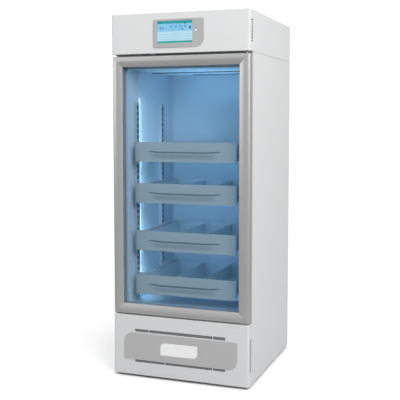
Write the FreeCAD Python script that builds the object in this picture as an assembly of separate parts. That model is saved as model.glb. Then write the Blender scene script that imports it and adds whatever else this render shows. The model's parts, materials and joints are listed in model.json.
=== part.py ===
import FreeCAD, Part
import math
import os

# Blood bank refrigerator: glass door, four drawers, header with display, machine space below.
# Millimetres. X to the right, Y to the back, Z up. Origin on the floor under the centre.

# Overall layout, from the floor up
cabinet_width = 600.0
floor_gap = 10.0
plinth_height = 254.0
plinth_door_gap = 5.0
door_height = 1080.0
door_header_gap = 9.0
header_height = 162.0
seam_gap = 1.0

# Overall layout, from the front to the back
body_depth = 609.0
trim_proud = 2.0
back_recess = 3.0

# Outer sheet metal
panel_sheet = 1.0
corner_radius = 10.0
flange_width = 49.0
rear_flange = 14.0
return_clearance = 5.0

# Insulated body
wall_thickness = 50.0
back_thickness = 120.0
sill_drop = 18.0
sill_overlap = 31.0
lintel_overlap = 49.0
lintel_depth = 33.0
evaporator_space = 50.0
top_insulation = 60.0
liner_sheet = 1.0

# Base and feet
base_sheet = 2.0
base_flange = 30.0
foot_pad_diameter = 40.0
foot_pad_height = 5.0
foot_nut_flats = 17.0
foot_stem_diameter = 10.0
foot_stem_length = 24.0
foot_inset = 45.0

# Door
door_side_gap = 1.5
door_thickness = 39.0
frame_face = 43.5
frame_skin = 2.0
frame_ridge = 17.0
frame_sight_drop = 7.0
frame_edge_drop = 10.0
glass_setback = 9.0
pane_thickness = 4.0
pane_gap = 10.0
glass_cover = 12.5
spacer_width = 10.0
spacer_inset = 2.0
gasket_inset = 17.0
gasket_width = 13.0
gasket_thickness = 8.0

# Door hinge
pivot_inset = 16.5
pivot_setback = 21.0
pin_diameter = 8.0
pin_length = 17.0
pin_clearance = 0.05
boss_width = 20.0
boss_front = 12.5
boss_length = 24.0
hinge_plate = 3.5
hinge_leg = 42.0
hinge_leg_thickness = 4.0
hinge_width = 34.0
hinge_edge_clearance = 2.0

# Door sensor in the gap above the door
sensor_from_centre = 120.0
sensor_width = 16.0
sensor_depth = 22.0
sensor_height = 5.0
sensor_setback = 20.0

# Display
bezel_width = 219.0
bezel_height = 115.0
bezel_large_radius = 38.0
bezel_small_radius = 7.0
bezel_offset = -2.0
bezel_above_header = 21.0
screen_width = 153.0
screen_height = 88.0
screen_from_bezel_left = 18.5
screen_from_bezel_bottom = 19.0
screen_thickness = 2.0
screen_margin = 3.0
housing_inset = 4.0
housing_depth = 14.0
button_diameter = 9.0
button_clearance = 0.4
button_from_screen = 14.5
button_above_screen = 47.0
button_collar = 12.0
button_collar_thickness = 1.0
button_stem = 4.0
button_length = 11.0
board_inset = 12.0
board_thickness = 1.6
transformer_width = 45.0
transformer_height = 40.0
transformer_depth = 22.0
relay_width = 19.0
relay_height = 15.0
relay_depth = 16.0
relay_count = 3
relay_pitch = 24.0
terminal_width = 120.0
terminal_height = 12.0
terminal_depth = 14.0
board_part_margin = 10.0

# Louvres in the side returns
louvre_length = 22.0
louvre_height = 4.5
louvre_pitch = 9.1
louvre_setback = 16.0
header_louvre_count = 10
header_louvre_bottom = 38.0
plinth_louvre_count = 15
plinth_louvre_bottom = 58.0

# Plinth cover, its air slots, plate and badge
slot_inset = 51.5
upper_slot_height = 12.0
lower_slot_height = 10.0
upper_slot_bottom = 185.0
lower_slot_bottom = 55.0
slot_web = 3.0
upper_left_web = -137.0
lower_left_web = -65.0
right_web = 146.0
plate_margin = 48.0
plate_height = 116.0
plate_thickness = 1.0
plate_large_radius = 40.0
plate_small_radius = 6.0
badge_width = 164.0
badge_height = 52.0
badge_thickness = 1.0
badge_large_radius = 20.0
badge_small_radius = 3.0
badge_offset = -2.0
badge_above_plate = 30.0

# Drawers
top_drawer_above_floor = 695.0
second_drawer_above_floor = 521.0
third_drawer_above_floor = 318.0
bottom_drawer_above_floor = 130.0
drawer_setback = 55.0
drawer_side_gap = 25.0
drawer_front_height = 83.0
drawer_sheet = 1.2
drawer_bend = 10.0
drawer_return = 20.0
slit_below_top = 42.0
slit_height = 6.0
lip_width = 326.0
lip_height = 33.0
lip_reach = 19.0
lip_sections = 17
tray_back_gap = 32.0
tray_sheet = 1.0
tray_top_below_front = 13.0
tray_floor_above_front = 3.0
divider_count = 2
divider_sheet = 1.0
divider_foot = 12.0
divider_below_tray = 3.0

# Drawer runners
runner_height = 35.0
runner_thickness = 12.7
runner_sheet = 1.2
runner_play = 2.8
runner_below_front_top = 27.0
runner_front_gap = 4.0
runner_back_gap = 4.0
bracket_sheet = 2.0
bracket_height = 42.0
bracket_front_gap = 20.0
bracket_overhang = 30.0
bracket_arm = 25.3
hook_thickness = 2.0
hook_height = 11.0
hook_length = 6.0

# Slotted uprights
pilaster_depth = 12.0
pilaster_width = 34.0
pilaster_sheet = 1.2
pilaster_above_floor = 20.0
pilaster_below_ceiling = 138.0
pilaster_front_setback = 105.0
pilaster_from_back = 155.0
pilaster_slot_width = 5.0
pilaster_slot_height = 16.0
pilaster_slot_pitch = 25.0
pilaster_slot_first = 12.0

# Light strip
led_gap = 1.5
led_width = 12.0
led_depth = 8.0
led_above_floor = 15.0
led_below_ceiling = 98.0
led_channel_width = 6.0
led_channel_depth = 4.0

# Cold space ceiling, fan and evaporator
ceiling_sheet = 1.0
ceiling_lap = 20.0
ceiling_gap = 3.0
ceiling_joint_behind_fan = 20.0
return_slot_before_coil_back = 20.0
return_slot_start = -105.0
return_slot_wall_gap = 10.0
return_slot_width = 8.0
cold_fan_size = 120.0
cold_fan_depth = 38.0
cold_fan_bore = 112.0
cold_fan_setback = 205.0
fan_tip_clearance = 2.0
fan_hub_diameter = 42.0
fan_blade_thickness = 1.5
fan_blade_pitch = 32.0
fan_blade_count = 5
fan_blade_inset = 5.0
fan_strut_width = 8.0
fan_strut_thickness = 4.0
fan_end_gap = 2.0
fan_shaft_diameter = 5.0
coil_side_gap = 60.0
coil_depth = 130.0
coil_height = 44.0
coil_back_gap = 66.0
coil_tube_diameter = 9.0
coil_tube_pitch = 25.0

# Machine space
compressor_diameter = 150.0
compressor_height = 150.0
compressor_from_centre = 130.0
compressor_from_back = 133.0
compressor_dome = 30.0
compressor_plate = 3.0
compressor_plate_width = 190.0
compressor_plate_depth = 130.0
grommet_diameter = 22.0
grommet_height = 12.0
terminal_box_width = 50.0
terminal_box_depth = 22.0
condenser_width = 230.0
condenser_depth = 60.0
condenser_height = 170.0
condenser_from_centre = 100.0
condenser_setback = 90.0
shroud_sheet = 2.0
shroud_depth = 40.0
condenser_fan_bore = 146.0
condenser_fan_hub = 50.0

# Refrigerant tubes
tube_diameter = 8.0
tube_bend = 24.0
tube_top_clearance = 14.0
suction_from_back = 53.0

# Rear
grille_slot_length = 90.0
grille_slot_height = 5.0
grille_slot_pitch = 15.0
grille_slot_rows = 9
grille_slot_margin = 50.0
grille_first_slot = 25.0
inlet_width = 62.0
inlet_height = 34.0
inlet_flange = 2.0
inlet_depth = 22.0
inlet_from_left = 60.0
inlet_from_top = 30.0
socket_width = 24.0
socket_height = 16.0
socket_depth = 14.0
socket_pin_width = 2.0
socket_pin_height = 4.0
socket_pin_length = 9.0
socket_pin_pitch = 7.0
rocker_opening_width = 14.0
rocker_opening_height = 22.0
rocker_width = 13.0
rocker_height = 19.4
rocker_depth = 6.0
rocker_tilt = 8.0
rocker_recess = 1.0
rocker_pin_diameter = 2.0
rocker_pin_length = 1.5
module_rib = 6.0
screw_head_diameter = 8.0
screw_head_height = 2.0
screw_inset = 25.0

# Levels worked out from the layout
plinth_top = floor_gap + plinth_height
door_bottom = plinth_top + plinth_door_gap
door_top = door_bottom + door_height
header_bottom = door_top + door_header_gap
cabinet_height = header_bottom + header_height
body_top = header_bottom - seam_gap
machine_top = plinth_top - sill_drop
cavity_floor = door_bottom + sill_overlap
cavity_ceiling = door_top - lintel_overlap
liner_top = cavity_ceiling + evaporator_space
foam_top = liner_top + top_insulation

# Half widths and depths worked out from the layout
half_width = cabinet_width / 2
front_depth = door_thickness + gasket_thickness
cabinet_depth = front_depth + body_depth
front_face = trim_proud - (cabinet_depth + trim_proud) / 2
cavity_half = half_width - wall_thickness
door_half = half_width - door_side_gap
glass_back = glass_setback + 2 * pane_thickness + pane_gap
pivot_x = door_half - pivot_inset
liner_back = cabinet_depth - back_thickness
body_back = cabinet_depth - back_recess
pilaster_face = cavity_half - pilaster_depth
pilaster_rear_setback = liner_back - pilaster_from_back
bracket_x = pilaster_face - bracket_arm
tray_half = bracket_x - runner_thickness
tray_setback = drawer_setback + drawer_sheet
tray_back = liner_back - tray_back_gap
runner_setback = tray_setback + runner_front_gap
runner_back = tray_back - runner_back_gap
drawer_half = cavity_half - drawer_side_gap
drawer_tops = [
    cavity_floor + top_drawer_above_floor,
    cavity_floor + second_drawer_above_floor,
    cavity_floor + third_drawer_above_floor,
    cavity_floor + bottom_drawer_above_floor,
]
plate_half = half_width - plate_margin
slot_half = plate_half - slot_inset
coil_half = cavity_half - coil_side_gap
coil_back = liner_back - coil_back_gap
coil_front = coil_back - coil_depth
compressor_setback = body_back - compressor_from_back
suction_setback = body_back - suction_from_back


def depth_at(setback):
    """Y of a plane that lies this far behind the cabinet's front."""
    return front_face + setback


def vector(x, y, z):
    return FreeCAD.Vector(x, y, z)


def block(x_low, x_high, y_low, y_high, z_low, z_high):
    """Box between two values along each axis; Y is given as a setback from the front."""
    corner = vector(x_low, depth_at(y_low), z_low)
    return Part.makeBox(x_high - x_low, y_high - y_low, z_high - z_low, corner)


def upright_rod(diameter, x, setback, z_low, z_high):
    base = vector(x, depth_at(setback), z_low)
    return Part.makeCylinder(diameter / 2, z_high - z_low, base, vector(0, 0, 1))


def rod_along_y(diameter, x, z, y_low, y_high):
    base = vector(x, depth_at(y_low), z)
    return Part.makeCylinder(diameter / 2, y_high - y_low, base, vector(0, 1, 0))


def rod_along_x(diameter, x_low, x_high, setback, z):
    base = vector(x_low, depth_at(setback), z)
    return Part.makeCylinder(diameter / 2, x_high - x_low, base, vector(1, 0, 0))


def joined(shapes):
    """One solid from pieces that touch or overlap."""
    return shapes[0].multiFuse(shapes[1:]).removeSplitter()


def mirrored_x(shape):
    return shape.mirror(vector(0, 0, 0), vector(1, 0, 0))


def save(node, solids):
    """Write a node's solids to its own file."""
    shape = solids[0] if len(solids) == 1 else Part.makeCompound(solids)
    if not shape.isValid():
        print("not valid:", node)
    shape.exportStep("parts/" + node + ".step")


def upright_edges(shape, x, setback):
    """Vertical edges of a shape that stand at one place."""
    found = []
    for edge in shape.Edges:
        ends = [vertex.Point for vertex in edge.Vertexes]
        if len(ends) < 2:
            continue
        stands = abs(ends[0].z - ends[1].z) > abs(ends[0].x - ends[1].x) + abs(ends[0].y - ends[1].y)
        here = abs(ends[0].x - x) < 0.01 and abs(ends[0].y - depth_at(setback)) < 0.01
        if stands and here:
            found.append(edge)
    return found


def rounded_front_block(half, y_low, y_high, z_low, z_high, radius):
    """Box whose two vertical front edges are rounded."""
    body = block(-half, half, y_low, y_high, z_low, z_high)
    edges = upright_edges(body, -half, y_low) + upright_edges(body, half, y_low)
    return body.makeFillet(radius, edges)


def rounded_plate(x_low, x_high, y_low, y_high, z_low, z_high, radii):
    """Upright plate with its own corner radii: top left, top right, bottom right, bottom left."""
    top_left, top_right, bottom_right, bottom_left = radii
    y = depth_at(y_low)
    corners = [
        (x_low, z_high, -1, 1, top_left, True),
        (x_high, z_high, 1, 1, top_right, False),
        (x_high, z_low, 1, -1, bottom_right, True),
        (x_low, z_low, -1, -1, bottom_left, False),
    ]
    edges = []
    ends = []
    for x, z, out_x, out_z, radius, side_first in corners:
        centre = vector(x - out_x * radius, y, z - out_z * radius)
        side = centre + vector(out_x * radius, 0, 0)
        top = centre + vector(0, 0, out_z * radius)
        middle = centre + vector(out_x, 0, out_z).normalize() * radius
        start, end = (side, top) if side_first else (top, side)
        edges.append(Part.Arc(start, middle, end).toShape())
        ends.append((start, end))
    outline = []
    for index, edge in enumerate(edges):
        outline.append(edge)
        next_start = ends[(index + 1) % len(ends)][0]
        outline.append(Part.LineSegment(ends[index][1], next_start).toShape())
    face = Part.Face(Part.Wire(outline))
    return face.extrude(vector(0, y_high - y_low, 0))


def side_louvres(count, z_first):
    """Cutters for the air slots in both side returns."""
    cutters = []
    for index in range(count):
        z = z_first + index * louvre_pitch
        y_high = louvre_setback + louvre_length
        cutters.append(block(half_width - corner_radius, half_width + panel_sheet,
                             louvre_setback, y_high, z, z + louvre_height))
        cutters.append(block(-half_width - panel_sheet, -half_width + corner_radius,
                             louvre_setback, y_high, z, z + louvre_height))
    return cutters


# Cabinet side panels
def side_panel():
    """Right-hand side: sheet with a wide front flange and a narrow rear one."""
    sheet_x = half_width - panel_sheet
    side = block(sheet_x, half_width, front_depth, cabinet_depth, floor_gap, body_top)
    front = block(half_width - flange_width, half_width, front_depth, front_depth + panel_sheet,
                  floor_gap, body_top)
    rear = block(half_width - rear_flange, half_width, cabinet_depth - panel_sheet, cabinet_depth,
                 floor_gap, body_top)
    return joined([side, front, rear])


# Back panel behind the insulation
def back_panel():
    half = half_width - panel_sheet
    return block(-half, half, body_back - panel_sheet, body_back, machine_top, body_top)


# Base tray that carries the machine and the feet
def foot_places():
    x = half_width - foot_inset
    front = front_depth + foot_inset
    rear = body_back - foot_inset
    return [(-x, front), (x, front), (-x, rear), (x, rear)]


def base_frame():
    half = half_width - panel_sheet
    y_low = front_depth + panel_sheet
    y_high = body_back - panel_sheet
    tray = block(-half, half, y_low, y_high, floor_gap, floor_gap + base_flange)
    hollow = block(-half + base_sheet, half - base_sheet, y_low + base_sheet, y_high - base_sheet,
                   floor_gap + base_sheet, floor_gap + base_flange)
    holes = []
    for x, setback in foot_places():
        holes.append(upright_rod(foot_stem_diameter, x, setback, floor_gap, floor_gap + base_sheet))
    return tray.cut([hollow] + holes)


def hexagon(flats, x, setback, z_low, z_high):
    corner_reach = flats / math.sqrt(3)
    points = []
    for index in range(7):
        angle = math.radians(60 * index)
        points.append(vector(x + corner_reach * math.cos(angle),
                             depth_at(setback) + corner_reach * math.sin(angle), z_low))
    return Part.Face(Part.makePolygon(points)).extrude(vector(0, 0, z_high - z_low))


def levelling_feet():
    feet = []
    for x, setback in foot_places():
        pad = upright_rod(foot_pad_diameter, x, setback, 0, foot_pad_height)
        nut = hexagon(foot_nut_flats, x, setback, foot_pad_height, floor_gap)
        stem = upright_rod(foot_stem_diameter, x, setback, floor_gap, floor_gap + foot_stem_length)
        feet.append(joined([pad, nut, stem]))
    return feet


# Plinth cover with air slots and louvred returns
def slot_cutters(bottom, height, webs):
    """One long slot, left whole where its webs stand."""
    z_low = floor_gap + bottom
    edges = [-slot_half]
    for web in webs:
        edges.append(web - slot_web / 2)
        edges.append(web + slot_web / 2)
    edges.append(slot_half)
    cutters = []
    for start, end in zip(edges[0::2], edges[1::2]):
        cutters.append(block(start, end, -panel_sheet, 2 * panel_sheet, z_low, z_low + height))
    return cutters


def plinth_panel():
    outer = rounded_front_block(half_width, 0, front_depth, floor_gap, plinth_top, corner_radius)
    hollow = rounded_front_block(half_width - panel_sheet, panel_sheet, front_depth + panel_sheet,
                                 floor_gap - panel_sheet, plinth_top - panel_sheet,
                                 corner_radius - panel_sheet)
    back_edge = block(-half_width + panel_sheet, half_width - panel_sheet,
                      front_depth - return_clearance, front_depth + panel_sheet,
                      plinth_top - 2 * panel_sheet, plinth_top + panel_sheet)
    cutters = slot_cutters(upper_slot_bottom, upper_slot_height, (upper_left_web, right_web))
    cutters += slot_cutters(lower_slot_bottom, lower_slot_height, (lower_left_web, right_web))
    cutters += side_louvres(plinth_louvre_count, floor_gap + plinth_louvre_bottom)
    return outer.cut([hollow, back_edge] + cutters)


def plate_bottom():
    return floor_gap + lower_slot_bottom + lower_slot_height


def plinth_plate():
    z_low = plate_bottom()
    radii = (plate_large_radius, plate_small_radius, plate_large_radius, plate_small_radius)
    return rounded_plate(-plate_half, plate_half, -plate_thickness, 0,
                         z_low, z_low + plate_height, radii)


def plinth_badge():
    z_low = plate_bottom() + badge_above_plate
    x_low = badge_offset - badge_width / 2
    radii = (badge_large_radius, badge_small_radius, badge_large_radius, badge_small_radius)
    return rounded_plate(x_low, x_low + badge_width, -plate_thickness - badge_thickness,
                         -plate_thickness, z_low, z_low + badge_height, radii)


# Header: fascia in front, cover over the rest
def bezel_left():
    return bezel_offset - bezel_width / 2


def bezel_bottom():
    return header_bottom + bezel_above_header


def bezel_outline(inset, y_low, y_high):
    """Plate of the bezel's shape, one corner much rounder, set in all round."""
    x_low = bezel_left() + inset
    x_high = bezel_left() + bezel_width - inset
    z_low = bezel_bottom() + inset
    z_high = bezel_bottom() + bezel_height - inset
    small = bezel_small_radius - inset
    return rounded_plate(x_low, x_high, y_low, y_high, z_low, z_high,
                         (small, small, bezel_large_radius - inset, small))


def header_fascia():
    outer = rounded_front_block(half_width, 0, front_depth, header_bottom, cabinet_height,
                                corner_radius)
    hollow = rounded_front_block(half_width - panel_sheet, panel_sheet, front_depth + panel_sheet,
                                 header_bottom + panel_sheet, cabinet_height - panel_sheet,
                                 corner_radius - panel_sheet)
    back_edge = block(-half_width + panel_sheet, half_width - panel_sheet,
                      front_depth - return_clearance, front_depth + panel_sheet,
                      header_bottom - panel_sheet, header_bottom + 2 * panel_sheet)
    window = bezel_outline(housing_inset, -panel_sheet, 2 * panel_sheet)
    louvres = side_louvres(header_louvre_count, header_bottom + header_louvre_bottom)
    return outer.cut([hollow, back_edge, window] + louvres)


def header_cover():
    half = half_width - panel_sheet
    outer = block(-half_width, half_width, front_depth, cabinet_depth, header_bottom, cabinet_height)
    hollow = block(-half, half, front_depth - panel_sheet, cabinet_depth - panel_sheet,
                   header_bottom - panel_sheet, cabinet_height - panel_sheet)
    shell = outer.cut(hollow)
    flange_x = half_width - flange_width
    flanges = []
    for x_low, x_high in ((-half, -flange_x), (flange_x, half)):
        flanges.append(block(x_low, x_high, front_depth, front_depth + panel_sheet,
                             header_bottom, cabinet_height - panel_sheet))
    return joined([shell] + flanges)


# Display: bezel, screen, push button and control board
def button_place():
    x = bezel_left() + screen_from_bezel_left + screen_width + button_from_screen
    z = bezel_bottom() + screen_from_bezel_bottom + button_above_screen
    return x, z


def screen_box(margin, y_low, y_high):
    x_low = bezel_left() + screen_from_bezel_left
    z_low = bezel_bottom() + screen_from_bezel_bottom
    return block(x_low - margin, x_low + screen_width + margin, y_low, y_high,
                 z_low - margin, z_low + screen_height + margin)


def display_bezel():
    plate = bezel_outline(0, -trim_proud, 0)
    housing = bezel_outline(housing_inset, 0, housing_depth)
    window = screen_box(0, -trim_proud, 0)
    pocket = screen_box(screen_margin, 0, screen_thickness)
    cavity = screen_box(0, screen_thickness, housing_depth)
    button_x, button_z = button_place()
    hole = rod_along_y(button_diameter + button_clearance, button_x, button_z, -trim_proud, 0)
    well = rod_along_y(button_collar + 2 * button_clearance, button_x, button_z, 0, housing_depth)
    return joined([plate, housing]).cut([window, pocket, cavity, hole, well])


def display_screen():
    return screen_box(screen_margin, 0, screen_thickness)


def mute_button():
    x, z = button_place()
    cap = rod_along_y(button_diameter, x, z, -trim_proud, 0)
    collar = rod_along_y(button_collar, x, z, 0, button_collar_thickness)
    stem = rod_along_y(button_stem, x, z, button_collar_thickness, button_length)
    return joined([cap, collar, stem])


def controller_board():
    x_low = bezel_left() + board_inset
    x_high = bezel_left() + bezel_width - board_inset
    z_low = bezel_bottom() + board_inset
    z_high = bezel_bottom() + bezel_height - board_inset
    back = housing_depth + board_thickness
    board = block(x_low, x_high, housing_depth, back, z_low, z_high)
    part_x = x_low + board_part_margin
    part_z = z_low + board_part_margin
    pieces = [board]
    pieces.append(block(part_x, part_x + transformer_width, back, back + transformer_depth,
                        part_z, part_z + transformer_height))
    for index in range(relay_count):
        x = part_x + transformer_width + board_part_margin + index * relay_pitch
        pieces.append(block(x, x + relay_width, back, back + relay_depth,
                            part_z, part_z + relay_height))
    top_z = z_high - board_part_margin
    pieces.append(block(part_x, part_x + terminal_width, back, back + terminal_depth,
                        top_z - terminal_height, top_z))
    return joined(pieces)


# Insulated body: liner, insulation and ceiling
def liner_space(sheet):
    """Cold space grown outwards by a sheet thickness."""
    half = cavity_half + sheet
    main = block(-half, half, front_depth, liner_back + sheet,
                 cavity_floor - sheet, cavity_ceiling + sheet)
    upper = block(-half, half, front_depth + lintel_depth - sheet, liner_back + sheet,
                  cavity_ceiling, liner_top + sheet)
    return main.fuse(upper).removeSplitter()


def inner_liner(tube):
    shell = liner_space(liner_sheet).cut(liner_space(0))
    half = cavity_half + liner_sheet
    face_back = front_depth + panel_sheet
    lintel = block(-half, half, front_depth, face_back, cavity_ceiling, body_top)
    sill = block(-half, half, front_depth, face_back, plinth_top, cavity_floor)
    return joined([shell, lintel, sill]).cut(tube)


def insulation(tube):
    half = half_width - panel_sheet
    foam = block(-half, half, front_depth + panel_sheet, body_back - panel_sheet,
                 machine_top, foam_top)
    return foam.cut([liner_space(liner_sheet), tube])


def ceiling_panel():
    z_low = cavity_ceiling - ceiling_sheet
    y_low = front_depth + lintel_depth - ceiling_lap
    panel = block(-cavity_half, cavity_half, y_low, liner_back, z_low, cavity_ceiling)
    fan_hole = upright_rod(cold_fan_bore, 0, cold_fan_setback, z_low, cavity_ceiling)
    joint_y = cold_fan_setback + cold_fan_size / 2 + ceiling_joint_behind_fan
    joint = block(ceiling_gap - cavity_half, cavity_half - ceiling_gap, joint_y,
                  joint_y + ceiling_gap, z_low, cavity_ceiling)
    slot_y = coil_back - return_slot_before_coil_back
    back_slot = block(return_slot_start, cavity_half - return_slot_wall_gap, slot_y,
                      slot_y + return_slot_width, z_low, cavity_ceiling)
    return panel.cut([fan_hole, joint, back_slot])


# Slotted uprights and light strip
def pilaster(side, setback):
    """Channel on a side wall, its slotted face towards the drawers."""
    z_low = cavity_floor + pilaster_above_floor
    z_high = cavity_ceiling - pilaster_below_ceiling
    outer = block(pilaster_face, cavity_half, setback, setback + pilaster_width, z_low, z_high)
    hollow = block(pilaster_face + pilaster_sheet, cavity_half, setback + pilaster_sheet,
                   setback + pilaster_width - pilaster_sheet, z_low, z_high)
    slots = []
    middle = setback + pilaster_width / 2
    z = z_low + pilaster_slot_first
    while z + pilaster_slot_height < z_high:
        slots.append(block(pilaster_face, pilaster_face + pilaster_sheet,
                           middle - pilaster_slot_width / 2, middle + pilaster_slot_width / 2,
                           z, z + pilaster_slot_height))
        z += pilaster_slot_pitch
    shape = outer.cut([hollow] + slots)
    return shape if side > 0 else mirrored_x(shape)


def led_strip():
    """Lamp profile on the left wall, with its wire channel up to the ceiling."""
    y_low = pilaster_front_setback + pilaster_width + led_gap
    z_low = cavity_floor + led_above_floor
    z_high = cavity_ceiling - led_below_ceiling
    lamp = block(-cavity_half, led_depth - cavity_half, y_low, y_low + led_width, z_low, z_high)
    middle = y_low + led_width / 2
    channel = block(-cavity_half, led_channel_depth - cavity_half,
                    middle - led_channel_width / 2, middle + led_channel_width / 2,
                    z_high, cavity_ceiling - ceiling_sheet)
    return joined([lamp, channel])


# Door frame members: one rolled profile, mitred at both ends
def frame_profile():
    """Closed section of the aluminium frame; X in from the door's edge, Y back from its ridge."""
    skin = frame_skin
    ridge = frame_ridge
    outer_shoulder = vector(ridge * 0.35, depth_at(frame_edge_drop * 0.22), 0)
    outer_corner = vector(ridge * 0.08, depth_at(frame_edge_drop * 0.52), 0)
    edge_top = vector(0, depth_at(frame_edge_drop), 0)
    ridge_top = vector(ridge, depth_at(0), 0)
    slope_middle = vector((ridge + frame_face) / 2, depth_at(frame_sight_drop * 0.33), 0)
    sight_edge = vector(frame_face, depth_at(frame_sight_drop), 0)
    sight_back = vector(frame_face, depth_at(glass_setback), 0)
    lip_back = vector(frame_face - skin, depth_at(glass_setback), 0)
    inner_slope = vector((ridge + frame_face) / 2, depth_at(frame_sight_drop * 0.33 + skin), 0)
    ridge_inner = vector(ridge, depth_at(skin), 0)
    inner_shoulder = vector(ridge * 0.35 + skin * 0.7, depth_at(frame_edge_drop * 0.22 + skin), 0)
    inner_corner = vector(ridge * 0.08 + skin, depth_at(frame_edge_drop * 0.52 + skin), 0)
    edge_inner = vector(skin, depth_at(frame_edge_drop + skin), 0)
    wall_inner = vector(skin, depth_at(door_thickness), 0)
    wall_outer = vector(0, depth_at(door_thickness), 0)
    edges = [
        Part.Arc(edge_top, outer_corner, outer_shoulder).toShape(),
        Part.LineSegment(outer_shoulder, ridge_top).toShape(),
        Part.Arc(ridge_top, slope_middle, sight_edge).toShape(),
        Part.LineSegment(sight_edge, sight_back).toShape(),
        Part.LineSegment(sight_back, lip_back).toShape(),
        Part.Arc(lip_back, inner_slope, ridge_inner).toShape(),
        Part.LineSegment(ridge_inner, inner_shoulder).toShape(),
        Part.Arc(inner_shoulder, inner_corner, edge_inner).toShape(),
        Part.LineSegment(edge_inner, wall_inner).toShape(),
        Part.LineSegment(wall_inner, wall_outer).toShape(),
        Part.LineSegment(wall_outer, edge_top).toShape(),
    ]
    return Part.Face(Part.Wire(edges))


def frame_member(length):
    """Bar that stands on Z = 0 to length, both ends cut at 45 degrees."""
    bar = frame_profile().extrude(vector(0, 0, length))
    reach = frame_face * 2
    y_low = depth_at(-reach)
    y_span = door_thickness + 2 * reach
    for base_z, inward in ((0.0, 1.0), (length, -1.0)):
        points = [
            vector(0, y_low, base_z),
            vector(reach, y_low, base_z + inward * reach),
            vector(reach, y_low, base_z - inward * reach),
            vector(0, y_low, base_z - inward * reach),
            vector(0, y_low, base_z),
        ]
        wedge = Part.Face(Part.makePolygon(points)).extrude(vector(0, y_span, 0))
        bar = bar.cut(wedge)
    return bar


def placed_member(length, turn, x, z):
    """Member turned about the Y axis and moved to its corner of the door."""
    bar = frame_member(length)
    bar.rotate(vector(0, 0, 0), vector(0, 1, 0), turn)
    bar.translate(vector(x, 0, z))
    return bar


def door_frame():
    width = 2 * door_half
    left = placed_member(door_height, 0, -door_half, door_bottom)
    right = placed_member(door_height, 180, door_half, door_top)
    top = placed_member(width, 90, -door_half, door_top)
    bottom = placed_member(width, -90, door_half, door_bottom)
    return left, right, top, bottom


def hinge_boss(at_top):
    """Block in the corner of a rail that the hinge pin turns in."""
    z_outer = door_top if at_top else door_bottom
    inward = -1 if at_top else 1
    z_start = z_outer + inward * frame_skin
    z_end = z_outer + inward * boss_length
    x_low = pivot_x - boss_width / 2
    x_high = door_half - frame_skin
    return block(x_low, x_high, boss_front, glass_back, min(z_start, z_end), max(z_start, z_end))


def pin_hole(at_top):
    z_outer = door_top if at_top else door_bottom
    inward = -1 if at_top else 1
    z_end = z_outer + inward * (pin_length + plinth_door_gap)
    diameter = pin_diameter + 2 * pin_clearance
    return upright_rod(diameter, pivot_x, pivot_setback, min(z_outer, z_end), max(z_outer, z_end))


def ring(inset_outer, inset_inner, y_low, y_high):
    """Rectangular ring whose outer and inner edges are set in from the door's edge."""
    outer = block(inset_outer - door_half, door_half - inset_outer, y_low, y_high,
                  door_bottom + inset_outer, door_top - inset_outer)
    inner = block(inset_inner - door_half, door_half - inset_inner, y_low, y_high,
                  door_bottom + inset_inner, door_top - inset_inner)
    return outer.cut(inner)


def glass_inset():
    return frame_face - glass_cover


def pane(y_low):
    inset = glass_inset()
    return block(inset - door_half, door_half - inset, y_low, y_low + pane_thickness,
                 door_bottom + inset, door_top - inset)


def door_glass_spacer():
    inset = glass_inset() + spacer_inset
    y_low = glass_setback + pane_thickness
    return ring(inset, inset + spacer_width, y_low, y_low + pane_gap)


def door_inner_frame():
    return ring(frame_skin, frame_face, glass_back, door_thickness)


def door_gasket():
    return ring(gasket_inset, gasket_inset + gasket_width, door_thickness, front_depth)


# Hinge brackets with their pins
def hinge_bracket(at_top):
    """Plate in the gap beside the door, with a pin into the door and a leg on the body."""
    x_low = half_width - hinge_edge_clearance - hinge_width
    x_high = half_width - hinge_edge_clearance
    leg_front = front_depth - hinge_leg_thickness
    if at_top:
        plate_low = header_bottom - hinge_plate
        plate_high = header_bottom
        pin_low = plate_low - plinth_door_gap - pin_length
        pin_high = plate_low
        leg_low = plate_low
        leg_high = plate_low + hinge_leg
    else:
        plate_low = plinth_top
        plate_high = plinth_top + hinge_plate
        pin_low = plate_high
        pin_high = door_bottom + pin_length
        leg_low = plate_high - hinge_leg
        leg_high = plate_high
    plate = block(x_low, x_high, pivot_setback - pin_diameter, front_depth, plate_low, plate_high)
    leg = block(x_low, x_high, leg_front, front_depth, leg_low, leg_high)
    pin = upright_rod(pin_diameter, pivot_x, pivot_setback, pin_low, pin_high)
    return joined([plate, leg, pin])


def door_sensor():
    x_low = -sensor_from_centre - sensor_width / 2
    return block(x_low, x_low + sensor_width, sensor_setback, sensor_setback + sensor_depth,
                 header_bottom - sensor_height, header_bottom)


# Drawer fronts with a pressed lip handle
def lip_offset(x, rise):
    """How far the lip stands forward at a place along it; rise runs from 0 at its foot to 1."""
    across = math.cos(math.pi * x / lip_width) ** 2
    upward = 3 * rise ** 2 - 2 * rise ** 3
    return lip_reach * across * upward


def lip_section(x, foot_z):
    """Closed outline of the lip sheet at one place along it."""
    steps = 6
    outer = []
    inner = []
    for index in range(steps + 1):
        rise = index / steps
        z = foot_z + lip_height * rise
        forward = lip_offset(x, rise)
        outer.append(vector(x, depth_at(drawer_setback - forward), z))
        inner.append(vector(x, depth_at(drawer_setback + drawer_sheet - forward), z))
    front_curve = Part.BSplineCurve()
    front_curve.interpolate(outer)
    back_curve = Part.BSplineCurve()
    back_curve.interpolate(inner[::-1])
    return Part.Wire([
        front_curve.toShape(),
        Part.LineSegment(outer[-1], inner[-1]).toShape(),
        back_curve.toShape(),
        Part.LineSegment(inner[0], outer[0]).toShape(),
    ])


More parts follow.
